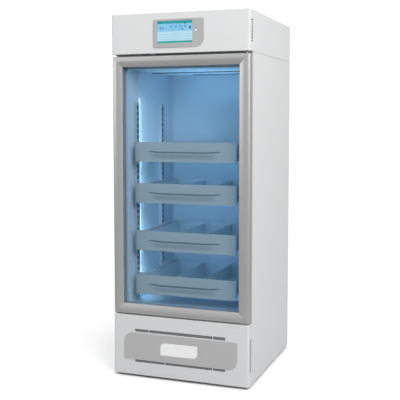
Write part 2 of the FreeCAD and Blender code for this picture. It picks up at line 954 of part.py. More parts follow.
def drawer_front(top):
    bottom = top - drawer_front_height
    y_high = drawer_setback + drawer_return
    outer = rounded_front_block(drawer_half, drawer_setback, y_high, bottom, top, drawer_bend)
    hollow = rounded_front_block(drawer_half - drawer_sheet, drawer_setback + drawer_sheet,
                                 y_high + drawer_sheet, bottom - drawer_sheet, top + drawer_sheet,
                                 drawer_bend - drawer_sheet)
    slit_low = top - slit_below_top
    foot_z = slit_low - lip_height
    window = block(-lip_width / 2, lip_width / 2, drawer_setback - drawer_sheet,
                   drawer_setback + 2 * drawer_sheet, foot_z, slit_low + slit_height)
    plate = outer.cut([hollow, window])
    wires = []
    for index in range(lip_sections):
        x = lip_width * (index / (lip_sections - 1) - 0.5)
        wires.append(lip_section(x, foot_z))
    lip = Part.makeLoft(wires, True, False)
    return joined([plate, lip])


def tray_levels(top):
    floor_z = top - drawer_front_height + tray_floor_above_front
    wall_z = top - tray_top_below_front
    return floor_z, wall_z


def drawer_tray(top):
    floor_z, wall_z = tray_levels(top)
    outer = block(-tray_half, tray_half, tray_setback, tray_back, floor_z, wall_z)
    hollow = block(tray_sheet - tray_half, tray_half - tray_sheet, tray_setback + tray_sheet,
                   tray_back - tray_sheet, floor_z + tray_sheet, wall_z)
    return outer.cut(hollow)


def drawer_dividers(top):
    floor_z, wall_z = tray_levels(top)
    pitch = 2 * tray_half / (divider_count + 1)
    y_low = tray_setback + tray_sheet
    y_high = tray_back - tray_sheet
    z_low = floor_z + tray_sheet
    dividers = []
    for index in range(divider_count):
        x = pitch * (index + 1) - tray_half
        wall = block(x, x + divider_sheet, y_low, y_high, z_low, wall_z - divider_below_tray)
        foot = block(x, x + divider_foot, y_low, y_high, z_low, z_low + divider_sheet)
        dividers.append(joined([wall, foot]))
    return dividers


# Runners and their brackets
def channel(x_web, x_open, y_low, y_high, z_middle, half_height):
    """Lying channel: web on one side, flanges reaching to the other."""
    x_low = min(x_web, x_open)
    x_high = max(x_web, x_open)
    outer = block(x_low, x_high, y_low, y_high, z_middle - half_height, z_middle + half_height)
    inner_low = x_low + (runner_sheet if x_web < x_open else 0)
    inner_high = x_high - (runner_sheet if x_web > x_open else 0)
    hollow = block(inner_low, inner_high, y_low, y_high,
                   z_middle - half_height + runner_sheet, z_middle + half_height - runner_sheet)
    return outer.cut(hollow)


def runner_middle(top):
    return top - runner_below_front_top


def drawer_runners(top):
    """Inner members, one on each side of the tray."""
    half_height = runner_height / 2 - runner_sheet - runner_play
    open_x = tray_half + runner_thickness - runner_sheet - runner_play
    right = channel(tray_half, open_x, runner_setback, runner_back, runner_middle(top), half_height)
    return [right, mirrored_x(right)]


def runner_outer_members():
    members = []
    open_x = tray_half + runner_sheet + runner_play
    for top in drawer_tops:
        right = channel(bracket_x, open_x, runner_setback, runner_back, runner_middle(top),
                        runner_height / 2)
        members.append(right)
        members.append(mirrored_x(right))
    return members


def nearest_slot_middle(z):
    """Height of the middle of the pilaster slot next to a bracket's centre."""
    first = cavity_floor + pilaster_above_floor + pilaster_slot_first + pilaster_slot_height / 2
    return first + round((z - first) / pilaster_slot_pitch) * pilaster_slot_pitch


def runner_bracket(top):
    """Rail behind a runner, with an arm and a hook at each upright."""
    middle = runner_middle(top)
    z_low = middle - bracket_height / 2
    z_high = middle + bracket_height / 2
    y_low = drawer_setback + bracket_front_gap
    y_high = pilaster_rear_setback + pilaster_width + bracket_overhang
    pieces = [block(bracket_x, bracket_x + bracket_sheet, y_low, y_high, z_low, z_high)]
    hook_z = nearest_slot_middle(middle)
    for setback in (pilaster_front_setback, pilaster_rear_setback):
        y_middle = setback + pilaster_width / 2
        y_front = y_middle - hook_thickness / 2
        pieces.append(block(bracket_x, pilaster_face, y_front, y_front + hook_thickness,
                            z_low, z_high))
        pieces.append(block(pilaster_face, pilaster_face + hook_length,
                            y_front, y_front + hook_thickness,
                            hook_z - hook_height / 2, hook_z + hook_height / 2))
    return joined(pieces)


def runner_brackets():
    brackets = []
    for top in drawer_tops:
        right = runner_bracket(top)
        brackets.append(right)
        brackets.append(mirrored_x(right))
    return brackets


# Fans: a blade wheel about Z, turned where it needs to be
def fan_wheel(bore, hub_diameter, height):
    """Hub and pitched blades, standing on Z = 0 about the Z axis."""
    tip_radius = bore / 2 - fan_tip_clearance
    hub = Part.makeCylinder(hub_diameter / 2, height)
    pieces = [hub]
    blade_width = (height - 2 * fan_blade_inset) / math.sin(math.radians(fan_blade_pitch))
    for index in range(fan_blade_count):
        blade = Part.makeBox(tip_radius, blade_width, fan_blade_thickness,
                             vector(0, -blade_width / 2, -fan_blade_thickness / 2))
        blade.rotate(vector(0, 0, 0), vector(1, 0, 0), fan_blade_pitch)
        blade.translate(vector(0, 0, height / 2))
        blade.rotate(vector(0, 0, 0), vector(0, 0, 1), 360.0 * index / fan_blade_count)
        pieces.append(blade)
    wheel = joined(pieces).common(Part.makeCylinder(tip_radius, height))
    return wheel.cut(Part.makeCylinder(fan_shaft_diameter / 2 + pin_clearance, height))


def strut_cross(bore, hub_diameter, shaft_length):
    """Crossed struts with the motor's end cap, and its shaft standing down from Z = 0."""
    half = bore / 2
    half_strut = fan_strut_width / 2
    long_way = Part.makeBox(bore, fan_strut_width, fan_strut_thickness, vector(-half, -half_strut, 0))
    short_way = Part.makeBox(fan_strut_width, bore, fan_strut_thickness, vector(-half_strut, -half, 0))
    cap = Part.makeCylinder(hub_diameter / 2, fan_strut_thickness)
    shaft = Part.makeCylinder(fan_shaft_diameter / 2, shaft_length, vector(0, 0, -shaft_length))
    return joined([long_way, short_way, cap, shaft])


def evaporator_fan_frame():
    half = cold_fan_size / 2
    z_low = cavity_ceiling
    frame = block(-half, half, cold_fan_setback - half, cold_fan_setback + half,
                  z_low, z_low + cold_fan_depth)
    bore = upright_rod(cold_fan_bore, 0, cold_fan_setback, z_low, z_low + cold_fan_depth)
    shaft_length = cold_fan_depth - fan_strut_thickness - fan_end_gap
    cross = strut_cross(cold_fan_bore, fan_hub_diameter, shaft_length)
    cross.translate(vector(0, depth_at(cold_fan_setback),
                           z_low + cold_fan_depth - fan_strut_thickness))
    return joined([frame.cut(bore), cross])


def evaporator_fan():
    height = cold_fan_depth - fan_strut_thickness - 2 * fan_end_gap
    wheel = fan_wheel(cold_fan_bore, fan_hub_diameter, height)
    wheel.translate(vector(0, depth_at(cold_fan_setback), cavity_ceiling + fan_end_gap))
    return wheel


def condenser_centre():
    x = condenser_from_centre
    z = floor_gap + base_sheet + condenser_height / 2
    return x, z


def condenser_fan_shroud():
    """Square shroud on the back of the condenser, with a ring and motor struts."""
    x, z = condenser_centre()
    y_low = condenser_setback + condenser_depth
    y_high = y_low + shroud_depth
    plate = block(x - condenser_width / 2, x + condenser_width / 2, y_low, y_low + shroud_sheet,
                  z - condenser_height / 2, z + condenser_height / 2)
    ring_outer = rod_along_y(condenser_fan_bore + 2 * shroud_sheet, x, z, y_low, y_high)
    bore = rod_along_y(condenser_fan_bore, x, z, y_low, y_high)
    shaft_length = shroud_depth - fan_strut_thickness - fan_end_gap
    cross = strut_cross(condenser_fan_bore, condenser_fan_hub, shaft_length)
    cross.rotate(vector(0, 0, 0), vector(1, 0, 0), -90)
    cross.translate(vector(x, depth_at(y_high - fan_strut_thickness), z))
    return joined([plate.fuse(ring_outer).cut(bore), cross])


def condenser_fan():
    x, z = condenser_centre()
    height = shroud_depth - fan_strut_thickness - 2 * fan_end_gap
    wheel = fan_wheel(condenser_fan_bore, condenser_fan_hub, height)
    wheel.rotate(vector(0, 0, 0), vector(1, 0, 0), -90)
    wheel.translate(vector(x, depth_at(condenser_setback + condenser_depth + fan_end_gap), z))
    return wheel


# Heat exchangers: fin pack, end plates and return bends
def finned_coil(x_middle, width, y_low, depth, z_low, height):
    half = width / 2
    pack = block(x_middle - half, x_middle + half, y_low, y_low + depth, z_low, z_low + height)
    pieces = [pack]
    tube_half = half + coil_tube_pitch / 2
    rows = max(1, int((height - coil_tube_diameter) // coil_tube_pitch) + 1)
    columns = max(2, int((depth - coil_tube_diameter) // coil_tube_pitch) + 1)
    first_z = z_low + (height - (rows - 1) * coil_tube_pitch) / 2
    first_y = y_low + (depth - (columns - 1) * coil_tube_pitch) / 2
    for row in range(rows):
        z = first_z + row * coil_tube_pitch
        for column in range(0, columns - 1, 2):
            y = first_y + column * coil_tube_pitch
            for side in (-1, 1):
                end_x = x_middle + side * half
                middle = vector(end_x, depth_at(y + coil_tube_pitch / 2), z)
                bend = Part.makeTorus(coil_tube_pitch / 2, coil_tube_diameter / 2, middle,
                                      vector(0, 0, 1))
                keep = block(min(end_x, x_middle + side * tube_half * 2),
                             max(end_x, x_middle + side * tube_half * 2),
                             y_low - depth, y_low + 2 * depth, z_low - height, z_low + 2 * height)
                pieces.append(bend.common(keep))
    return joined(pieces)


def evaporator_coil():
    return finned_coil(0, 2 * coil_half, coil_front, coil_depth, cavity_ceiling, coil_height)


def condenser_coil():
    x, z = condenser_centre()
    return finned_coil(x, condenser_width - 2 * coil_tube_pitch, condenser_setback, condenser_depth,
                       z - condenser_height / 2, condenser_height)


# Compressor on its rubber mounts
def compressor_levels():
    foot_z = floor_gap + base_sheet
    plate_z = foot_z + grommet_height
    body_z = plate_z + compressor_plate
    return foot_z, plate_z, body_z


def compressor():
    x = -compressor_from_centre
    foot_z, plate_z, body_z = compressor_levels()
    body = upright_rod(compressor_diameter, x, compressor_setback, body_z,
                       body_z + compressor_height)
    body = body.makeFillet(compressor_dome, [edge for edge in body.Edges
                                             if len(edge.Vertexes) == 1])
    half_w = compressor_plate_width / 2
    half_d = compressor_plate_depth / 2
    plate = block(x - half_w, x + half_w, compressor_setback - half_d, compressor_setback + half_d,
                  plate_z, body_z)
    pieces = [body, plate]
    for side_x in (-1, 1):
        for side_y in (-1, 1):
            pieces.append(upright_rod(grommet_diameter,
                                      x + side_x * (half_w - grommet_diameter / 2),
                                      compressor_setback + side_y * (half_d - grommet_diameter / 2),
                                      foot_z, plate_z))
    middle_z = body_z + compressor_height / 2
    box_x = x + compressor_diameter / 2
    pieces.append(block(box_x - terminal_box_depth / 2, box_x + terminal_box_depth / 2,
                        compressor_setback - terminal_box_width / 2,
                        compressor_setback + terminal_box_width / 2,
                        middle_z - terminal_box_width / 2, middle_z + terminal_box_width / 2))
    return joined(pieces)


# Refrigerant tubes: straight runs joined by tangent bends
def tube_along(points):
    """Round tube along square corners; each run is an axis-aligned step."""
    edges = []
    start = points[0]
    for index in range(1, len(points) - 1):
        corner = points[index]
        inward = (corner - points[index - 1]).normalize()
        outward = (points[index + 1] - corner).normalize()
        bend_start = corner - inward * tube_bend
        bend_end = corner + outward * tube_bend
        centre = bend_start + outward * tube_bend
        bend_middle = centre + (corner - centre).normalize() * tube_bend
        edges.append(Part.LineSegment(start, bend_start).toShape())
        edges.append(Part.Arc(bend_start, bend_middle, bend_end).toShape())
        start = bend_end
    edges.append(Part.LineSegment(start, points[-1]).toShape())
    path = Part.Wire(edges)
    direction = (points[1] - points[0]).normalize()
    circle = Part.Wire([Part.Circle(points[0], direction, tube_diameter / 2).toShape()])
    return path.makePipeShell([circle], True, False)


def refrigerant_lines():
    """Suction tube from the evaporator and discharge tube to the condenser."""
    z_coil = cavity_ceiling + coil_height / 2
    _, _, body_z = compressor_levels()
    low_z = body_z + compressor_dome + tube_bend
    dome_z = body_z + compressor_height
    compressor_x = -compressor_from_centre
    cross_z = machine_top - tube_top_clearance - tube_diameter
    suction_x = coil_tube_pitch - coil_half
    suction = tube_along([
        vector(suction_x, depth_at(coil_back), z_coil),
        vector(suction_x, depth_at(suction_setback), z_coil),
        vector(suction_x, depth_at(suction_setback), low_z),
        vector(suction_x, depth_at(compressor_setback), low_z),
    ])
    condenser_x, condenser_z = condenser_centre()
    condenser_top = condenser_z + condenser_height / 2
    condenser_y = condenser_setback + condenser_depth / 2
    discharge = tube_along([
        vector(compressor_x, depth_at(compressor_setback), dome_z),
        vector(compressor_x, depth_at(compressor_setback), cross_z),
        vector(compressor_x, depth_at(condenser_y), cross_z),
        vector(condenser_x, depth_at(condenser_y), cross_z),
        vector(condenser_x, depth_at(condenser_y), condenser_top),
    ])
    shell = compressor()
    return suction.cut(shell), discharge.cut(shell)


# Rear grille with mains inlet and rocker switch
def inlet_corner():
    """Lower left corner of the inlet module, seen from the front."""
    x = inlet_from_left - half_width
    z = machine_top - inlet_from_top - inlet_height
    return x, z


def rear_grille():
    half = half_width - panel_sheet
    z_low = floor_gap + base_sheet
    sheet = block(-half, half, body_back - panel_sheet, body_back, z_low, machine_top)
    cutters = []
    columns = int((2 * half - 2 * grille_slot_margin) // (grille_slot_length + grille_slot_pitch))
    span = columns * grille_slot_length + (columns - 1) * grille_slot_pitch
    for column in range(columns):
        x = column * (grille_slot_length + grille_slot_pitch) - span / 2
        for row in range(grille_slot_rows):
            z = z_low + grille_first_slot + row * grille_slot_pitch
            cutters.append(block(x, x + grille_slot_length, body_back - panel_sheet, body_back,
                                 z, z + grille_slot_height))
    module_x, module_z = inlet_corner()
    cutters.append(block(module_x + inlet_flange, module_x + inlet_width - inlet_flange,
                         body_back - panel_sheet, body_back,
                         module_z + inlet_flange, module_z + inlet_height - inlet_flange))
    return sheet.cut(cutters)


def socket_corner():
    module_x, module_z = inlet_corner()
    return module_x + module_rib, module_z + (inlet_height - socket_height) / 2


def rocker_centre():
    module_x, module_z = inlet_corner()
    x = module_x + inlet_width - module_rib - rocker_opening_width / 2
    z = module_z + inlet_height / 2
    setback = body_back + inlet_flange - rocker_recess - rocker_depth / 2
    return x, setback, z


def mains_inlet():
    """Three-pin inlet socket and switch opening in one moulding."""
    x, z = inlet_corner()
    flange = block(x, x + inlet_width, body_back, body_back + inlet_flange, z, z + inlet_height)
    body = block(x + inlet_flange, x + inlet_width - inlet_flange, body_back - inlet_depth, body_back,
                 z + inlet_flange, z + inlet_height - inlet_flange)
    outer_y = body_back + inlet_flange
    socket_x, socket_z = socket_corner()
    socket = block(socket_x, socket_x + socket_width, outer_y - socket_depth, outer_y,
                   socket_z, socket_z + socket_height)
    rocker_x, rocker_y, rocker_z = rocker_centre()
    opening = block(rocker_x - rocker_opening_width / 2, rocker_x + rocker_opening_width / 2,
                    outer_y - rocker_depth - rocker_opening_height / 2, outer_y,
                    rocker_z - rocker_opening_height / 2, rocker_z + rocker_opening_height / 2)
    pin_half = rocker_width / 2 + rocker_pin_length
    pivot_holes = rod_along_x(rocker_pin_diameter + 2 * pin_clearance, rocker_x - pin_half - pin_clearance,
                              rocker_x + pin_half + pin_clearance, rocker_y, rocker_z)
    moulding = joined([flange, body]).cut([socket, opening, pivot_holes])
    pins = []
    middle_x = socket_x + socket_width / 2
    middle_z = socket_z + socket_height / 2
    for step, lift in ((-1, -0.5), (0, 0.5), (1, -0.5)):
        pin_x = middle_x + step * socket_pin_pitch
        pin_z = middle_z + lift * socket_pin_height
        pins.append(block(pin_x - socket_pin_width / 2, pin_x + socket_pin_width / 2,
                          outer_y - socket_depth, outer_y - socket_depth + socket_pin_length,
                          pin_z - socket_pin_height / 2, pin_z + socket_pin_height / 2))
    return joined([moulding] + pins)


def power_switch():
    """Rocker on its cross pin, tilted to the on side."""
    x, setback, z = rocker_centre()
    half_w = rocker_width / 2
    y_low = setback - rocker_depth / 2
    rocker = block(x - half_w, x + half_w, y_low, y_low + rocker_depth,
                   z - rocker_height / 2, z + rocker_height / 2)
    pin = rod_along_x(rocker_pin_diameter, x - half_w - rocker_pin_length,
                      x + half_w + rocker_pin_length, setback, z)
    shape = joined([rocker, pin])
    shape.rotate(vector(x, depth_at(setback), z), vector(1, 0, 0), -rocker_tilt)
    return shape


def cover_screws():
    """Pan-head screws on the back panel and the rear grille."""
    screws = []
    x_side = half_width - rear_flange - screw_inset
    levels = [machine_top + screw_inset, (machine_top + body_top) / 2, body_top - screw_inset,
              machine_top - screw_inset, floor_gap + screw_inset]
    for z in levels:
        for x in (-x_side, x_side):
            screws.append(rod_along_y(screw_head_diameter, x, z, body_back,
                                      body_back + screw_head_height))
    return screws


def build():
    os.makedirs("parts", exist_ok=True)
    suction, discharge = refrigerant_lines()
    right_side = side_panel()
    left_stile, right_stile, top_rail, bottom_rail = door_frame()
    top_rail = joined([top_rail, hinge_boss(True)]).cut(pin_hole(True))
    bottom_rail = joined([bottom_rail, hinge_boss(False)]).cut(pin_hole(False))
    coil = evaporator_coil()
    save("side_panel_right", [right_side])
    save("side_panel_left", [mirrored_x(right_side)])
    save("back_panel", [back_panel()])
    save("base_frame", [base_frame()])
    save("levelling_feet", levelling_feet())
    save("plinth_panel", [plinth_panel()])
    save("plinth_plate", [plinth_plate()])
    save("plinth_badge", [plinth_badge()])
    save("header_fascia", [header_fascia()])
    save("header_cover", [header_cover()])
    save("display_bezel", [display_bezel()])
    save("display_screen", [display_screen()])
    save("mute_button", [mute_button()])
    save("controller_board", [controller_board()])
    save("inner_liner", [inner_liner(suction)])
    save("insulation", [insulation(suction)])
    save("ceiling_panel", [ceiling_panel()])
    uprights = []
    for setback in (pilaster_front_setback, pilaster_rear_setback):
        for side in (-1, 1):
            uprights.append(pilaster(side, setback))
    save("pilasters", uprights)
    save("led_strip", [led_strip()])
    save("door_stile_left", [left_stile])
    save("door_stile_right", [right_stile])
    save("door_rail_top", [top_rail])
    save("door_rail_bottom", [bottom_rail])
    save("door_outer_pane", [pane(glass_setback)])
    save("door_inner_pane", [pane(glass_setback + pane_thickness + pane_gap)])
    save("door_glass_spacer", [door_glass_spacer()])
    save("door_inner_frame", [door_inner_frame()])
    save("door_gasket", [door_gasket()])
    save("hinge_brackets", [hinge_bracket(False), hinge_bracket(True)])
    save("door_sensor", [door_sensor()])
    for index, top in enumerate(drawer_tops):
        name = "drawer_" + str(index + 1)
        save(name + "_front", [drawer_front(top)])
        save(name + "_tray", [drawer_tray(top)])
        save(name + "_dividers", drawer_dividers(top))
        save(name + "_runners", drawer_runners(top))
    save("runner_outer_members", runner_outer_members())
    save("runner_brackets", runner_brackets())
    save("evaporator_coil", [coil])
    save("evaporator_fan_frame", [evaporator_fan_frame()])
    save("evaporator_fan", [evaporator_fan()])
    save("compressor", [compressor()])
    save("condenser_coil", [condenser_coil()])
    save("condenser_fan_shroud", [condenser_fan_shroud()])
    save("condenser_fan", [condenser_fan()])
    save("refrigerant_lines", [suction, discharge])
    save("rear_grille", [rear_grille()])
    save("mains_inlet", [mains_inlet()])
    save("power_switch", [power_switch()])
    save("cover_screws", cover_screws())


build()
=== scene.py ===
import json
import math

import bmesh
import bpy
from mathutils import Matrix, Vector

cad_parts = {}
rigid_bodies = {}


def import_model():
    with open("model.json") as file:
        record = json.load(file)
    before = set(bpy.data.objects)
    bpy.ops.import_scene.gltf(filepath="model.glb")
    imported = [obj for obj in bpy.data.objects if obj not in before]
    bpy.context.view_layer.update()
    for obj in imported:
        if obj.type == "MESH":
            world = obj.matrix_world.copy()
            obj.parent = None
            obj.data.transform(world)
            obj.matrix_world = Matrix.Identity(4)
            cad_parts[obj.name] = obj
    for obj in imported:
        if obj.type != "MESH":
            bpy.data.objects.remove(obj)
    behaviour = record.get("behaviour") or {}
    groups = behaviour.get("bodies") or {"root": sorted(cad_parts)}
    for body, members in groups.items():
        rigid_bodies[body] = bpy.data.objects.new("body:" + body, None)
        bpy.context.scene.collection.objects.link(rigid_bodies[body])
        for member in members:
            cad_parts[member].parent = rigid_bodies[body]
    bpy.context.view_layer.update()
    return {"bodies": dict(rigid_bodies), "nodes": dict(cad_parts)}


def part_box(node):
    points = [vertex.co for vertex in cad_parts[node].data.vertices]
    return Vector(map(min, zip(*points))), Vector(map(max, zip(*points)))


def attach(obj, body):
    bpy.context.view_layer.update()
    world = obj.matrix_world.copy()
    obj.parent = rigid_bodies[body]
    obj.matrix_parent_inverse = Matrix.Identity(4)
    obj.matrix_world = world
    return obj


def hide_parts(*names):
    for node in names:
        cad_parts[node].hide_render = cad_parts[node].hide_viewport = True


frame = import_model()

nodes = frame["nodes"]


# The studio: a seamless pale floor that fades to white, one large soft light to the right of the
# camera, a wide one overhead and a weak one behind. The camera stands a good three metres off, to
# the right of the door, at the height of the upper drawer, and looks down a little.
def linear(code):
    """An sRGB colour such as "#dcdddd", as the linear colour that a socket takes."""
    shares = [int(code[i:i + 2], 16) / 255 for i in (1, 3, 5)]
    curve = [s / 12.92 if s <= 0.04045 else ((s + 0.055) / 1.055) ** 2.4 for s in shares]
    return (*curve, 1.0)


def add_node(tree, kind, inputs=None, **settings):
    """One node in the tree, with its settings, and a value or a link on each socket named."""
    node = tree.nodes.new(kind)
    for name, value in settings.items():
        setattr(node, name, value)
    for socket, value in (inputs or {}).items():
        if isinstance(value, bpy.types.NodeSocket):
            tree.links.new(value, node.inputs[socket])
        else:
            node.inputs[socket].default_value = value
    return node


def soft_light(name, place, target, width, height, watts, colour="#ffffff"):
    """A rectangular soft light that faces its target and that the camera doesn't see."""
    lamp = bpy.data.lights.new(name, "AREA")
    lamp.shape = "RECTANGLE"
    lamp.size = width
    lamp.size_y = height
    lamp.energy = watts
    lamp.color = linear(colour)[:3]
    holder = bpy.data.objects.new(name, lamp)
    bpy.context.scene.collection.objects.link(holder)
    holder.location = place
    holder.rotation_euler = (Vector(target) - Vector(place)).to_track_quat("-Z", "Y").to_euler()
    holder.visible_camera = False
    return holder


def new_material(name):
    """A new material, and its tree with the main shader in it."""
    material = bpy.data.materials.new(name)
    material.use_nodes = True
    return material, material.node_tree


scene = bpy.context.scene
scene.view_settings.view_transform = "Standard"

camera_place = (1.163, -3.246, 1.081)
camera_turn = 20.15
camera_tilt = 4.33
image_side = 400
focal_pixels = 772.1
sensor_width = 36.0
axis_row = 180
camera_data = bpy.data.cameras.new("camera")
camera_data.sensor_width = sensor_width
camera_data.lens = focal_pixels / image_side * sensor_width
camera_data.shift_y = (axis_row - image_side / 2) / image_side
camera = bpy.data.objects.new("camera", camera_data)
camera.location = camera_place
camera.rotation_euler = (math.radians(90 - camera_tilt), 0, math.radians(camera_turn))
scene.collection.objects.link(camera)
scene.camera = camera

object_middle = (0, 0, 0.75)
soft_light("key_light", (2.6, -3.0, 2.9), object_middle, 2.6, 2.6, 136)
soft_light("left_light", (-2.8, -2.2, 2.2), object_middle, 2.0, 2.6, 34)
soft_light("top_light", (0, 0, 4.2), object_middle, 4.0, 4.0, 90)
soft_light("side_light", (3.6, 0.6, 1.9), object_middle, 2.0, 2.4, 34)
soft_light("back_light", (-2.4, 3.4, 2.2), object_middle, 2.4, 2.4, 60)

# The air is bright above the horizon and dimmer below it, as over a pale studio floor.
world = bpy.data.worlds.new("studio_air")
world.use_nodes = True
scene.world = world
air = world.node_tree
air.nodes.clear()
path = add_node(air, "ShaderNodeLightPath")
ray = add_node(air, "ShaderNodeTexCoord")
heading = add_node(air, "ShaderNodeSeparateXYZ", {0: ray.outputs["Generated"]})
brightness = add_node(air, "ShaderNodeMapRange", {"Value": heading.outputs["Z"],
                                                  "From Min": -0.25, "From Max": 0.25,
                                                  "To Min": 0.2, "To Max": 0.42})
room = add_node(air, "ShaderNodeBackground", {"Color": linear("#ffffff"),
                                              "Strength": brightness.outputs[0]})
backdrop = add_node(air, "ShaderNodeBackground", {"Color": linear("#ffffff"), "Strength": 1.05})
seen = add_node(air, "ShaderNodeMixShader", {0: path.outputs["Is Camera Ray"],
                                             1: room.outputs[0], 2: backdrop.outputs[0]})
add_node(air, "ShaderNodeOutputWorld", {"Surface": seen.outputs[0]})

floor_radius = 6.0
floor_mesh = bpy.data.meshes.new("floor")
outline = bmesh.new()
bmesh.ops.create_circle(outline, cap_ends=True, segments=64, radius=floor_radius)
outline.to_mesh(floor_mesh)
outline.free()
floor = bpy.data.objects.new("floor", floor_mesh)
scene.collection.objects.link(floor)

# The floor's paint is plain; past the object it clears to the white air behind it.
fade_start = 0.7
fade_end = 2.4
floor_material, tree = new_material("floor_paint")
tree.nodes.clear()
spot = add_node(tree, "ShaderNodeTexCoord")
reach = add_node(tree, "ShaderNodeVectorMath", {0: spot.outputs["Object"]}, operation="LENGTH")
fade = add_node(tree, "ShaderNodeMapRange", {"Value": reach.outputs["Value"],
                                             "From Min": fade_start, "From Max": fade_end},
                interpolation_type="SMOOTHSTEP")
eye = add_node(tree, "ShaderNodeLightPath")
floor_tone = add_node(tree, "ShaderNodeMix", {0: eye.outputs["Is Camera Ray"],
                                              6: linear("#9a9a9c"), 7: linear("#f6f6f6")},
                      data_type="RGBA")
paint = add_node(tree, "ShaderNodeBsdfDiffuse", {"Color": floor_tone.outputs[2]})
clear = add_node(tree, "ShaderNodeBsdfTransparent")
both = add_node(tree, "ShaderNodeMixShader", {0: fade.outputs[0], 1: paint.outputs[0],
                                              2: clear.outputs[0]})
add_node(tree, "ShaderNodeOutputMaterial", {"Surface": both.outputs[0]})
floor_mesh.materials.append(floor_material)


# The base frame: a folded tray of galvanised steel that carries the machine parts and the body.
# The zinc shows its large pale crystals; the folded edges are softly rounded.
def grained(name, light, dark, grain, rough, bump=0.0, stretch=(1, 1, 1), **even):
    """A finish with fine grain: two close colours, a spread of roughness and a low relief.
    The grain and the relief are in millimetres, and stretch draws the grain out along an axis."""
    material, tree = new_material(name)
    shader = tree.nodes["Principled BSDF"]
    for socket, value in even.items():
        shader.inputs[socket.replace("_", " ")].default_value = value
    place = add_node(tree, "ShaderNodeTexCoord")
    drawn = add_node(tree, "ShaderNodeMapping", {"Vector": place.outputs["Object"],
                                                 "Scale": tuple(1 / s for s in stretch)})
    noise = add_node(tree, "ShaderNodeTexNoise", {"Vector": drawn.outputs["Vector"],
                                                  "Scale": 1000 / grain, "Detail": 3.0})
    tone = add_node(tree, "ShaderNodeMix", {0: noise.outputs["Fac"], 6: linear(light),
                                            7: linear(dark)}, data_type="RGBA")
    tree.links.new(tone.outputs[2], shader.inputs["Base Color"])
    gloss = add_node(tree, "ShaderNodeMapRange", {"Value": noise.outputs["Fac"],
                                                  "To Min": rough[0], "To Max": rough[1]})
    tree.links.new(gloss.outputs["Result"], shader.inputs["Roughness"])
    if bump:
        relief = add_node(tree, "ShaderNodeBump", {"Height": noise.outputs["Fac"],
                                                   "Distance": bump / 1000})
        tree.links.new(relief.outputs["Normal"], shader.inputs["Normal"])
    return material


def applied(holder):
    """The mesh that an object's modifiers give; the object itself goes."""
    final = holder.evaluated_get(bpy.context.evaluated_depsgraph_get())
    mesh = bpy.data.meshes.new_from_object(final)
    mesh.name = holder.name
    bpy.data.objects.remove(holder)
    return mesh


def rounded_mesh(name, points, faces, radius, angle=35, sheet=0):
    """A closed mesh in metres whose sharp edges are rounded by a radius in millimetres; an open
    surface is first made into a sheet of that thickness, in millimetres."""
    shape = bmesh.new()
    corners = [shape.verts.new(point) for point in points]
    for face in faces:
        shape.faces.new([corners[index] for index in face])
    bmesh.ops.remove_doubles(shape, verts=shape.verts, dist=same_place)
    bmesh.ops.recalc_face_normals(shape, faces=shape.faces)
    mesh = bpy.data.meshes.new(name)
    shape.to_mesh(mesh)
    shape.free()
    mesh.shade_smooth()
    holder = bpy.data.objects.new(name, mesh)
    scene.collection.objects.link(holder)
    if sheet:
        thick = holder.modifiers.new("sheet", "SOLIDIFY")
        thick.thickness = sheet / 1000
        thick.offset = -1
        thick.use_even_offset = True
    bevel = holder.modifiers.new("edges", "BEVEL")
    bevel.width = radius / 1000
    bevel.segments = 2
    bevel.limit_method = "ANGLE"
    bevel.angle_limit = math.radians(angle)
    bevel.use_clamp_overlap = False
    bevel.loop_slide = False
    normals = holder.modifiers.new("normals", "WEIGHTED_NORMAL")
    normals.keep_sharp = True
    return applied(holder)


def boxes(spans):
    """Points in metres and faces of upright boxes, each given by its low and high corner in
    millimetres as (x, setback from the front plane, level)."""
    points = []
    faces = []
    for low, high in spans:
        start = len(points)
        for x in (low[0], high[0]):
            for y in (low[1], high[1]):
                for z in (low[2], high[2]):
                    points.append((x / 1000, y / 1000 + front_plane, z / 1000))
        faces.extend([start + index for index in face] for face in box_faces)
    return points, faces


def add_piece(name, mesh, body, material=None, replaced=()):
    """The object of a finished mesh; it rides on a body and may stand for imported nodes."""
    if material:
        mesh.materials.clear()
        mesh.materials.append(material)
    piece = bpy.data.objects.new(name, mesh)
    scene.collection.objects.link(piece)
    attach(piece, body)
    if replaced:
        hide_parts(*replaced)
    return piece


def shaped_piece(name, shape, radius, body, material, replaced=(), angle=35, sheet=0):
    """A piece from the points and faces of one shape, its sharp edges rounded."""
    mesh = rounded_mesh(name, *shape, radius, angle, sheet)
    return add_piece(name, mesh, body, material, replaced)


def soften(name, radius, material, angle=35):
    """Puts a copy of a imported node, its sharp edges rounded, in the node's place."""
    source = nodes[name].data
    shape = ([vertex.co for vertex in source.vertices],
             [face.vertices for face in source.polygons])
    return shaped_piece(name + "_soft", shape, radius, body_of[name], material,
                        (name,), angle)


def finish_node(name, material):
    """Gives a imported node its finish."""
    mesh = nodes[name].data
    mesh.materials.clear()
    mesh.materials.append(material)


# In metres: the front plane, from which setbacks are measured, and the distance under which two
# corners are one
front_plane = -0.327
same_place = 2e-6
box_faces = ((0, 1, 3, 2), (4, 6, 7, 5), (0, 4, 5, 1), (2, 3, 7, 6), (0, 2, 6, 4), (1, 5, 7, 3))
holders = {holder.name: body for body, holder in frame["bodies"].items()}
body_of = {name: holders[node.parent.name] for name, node in nodes.items()}

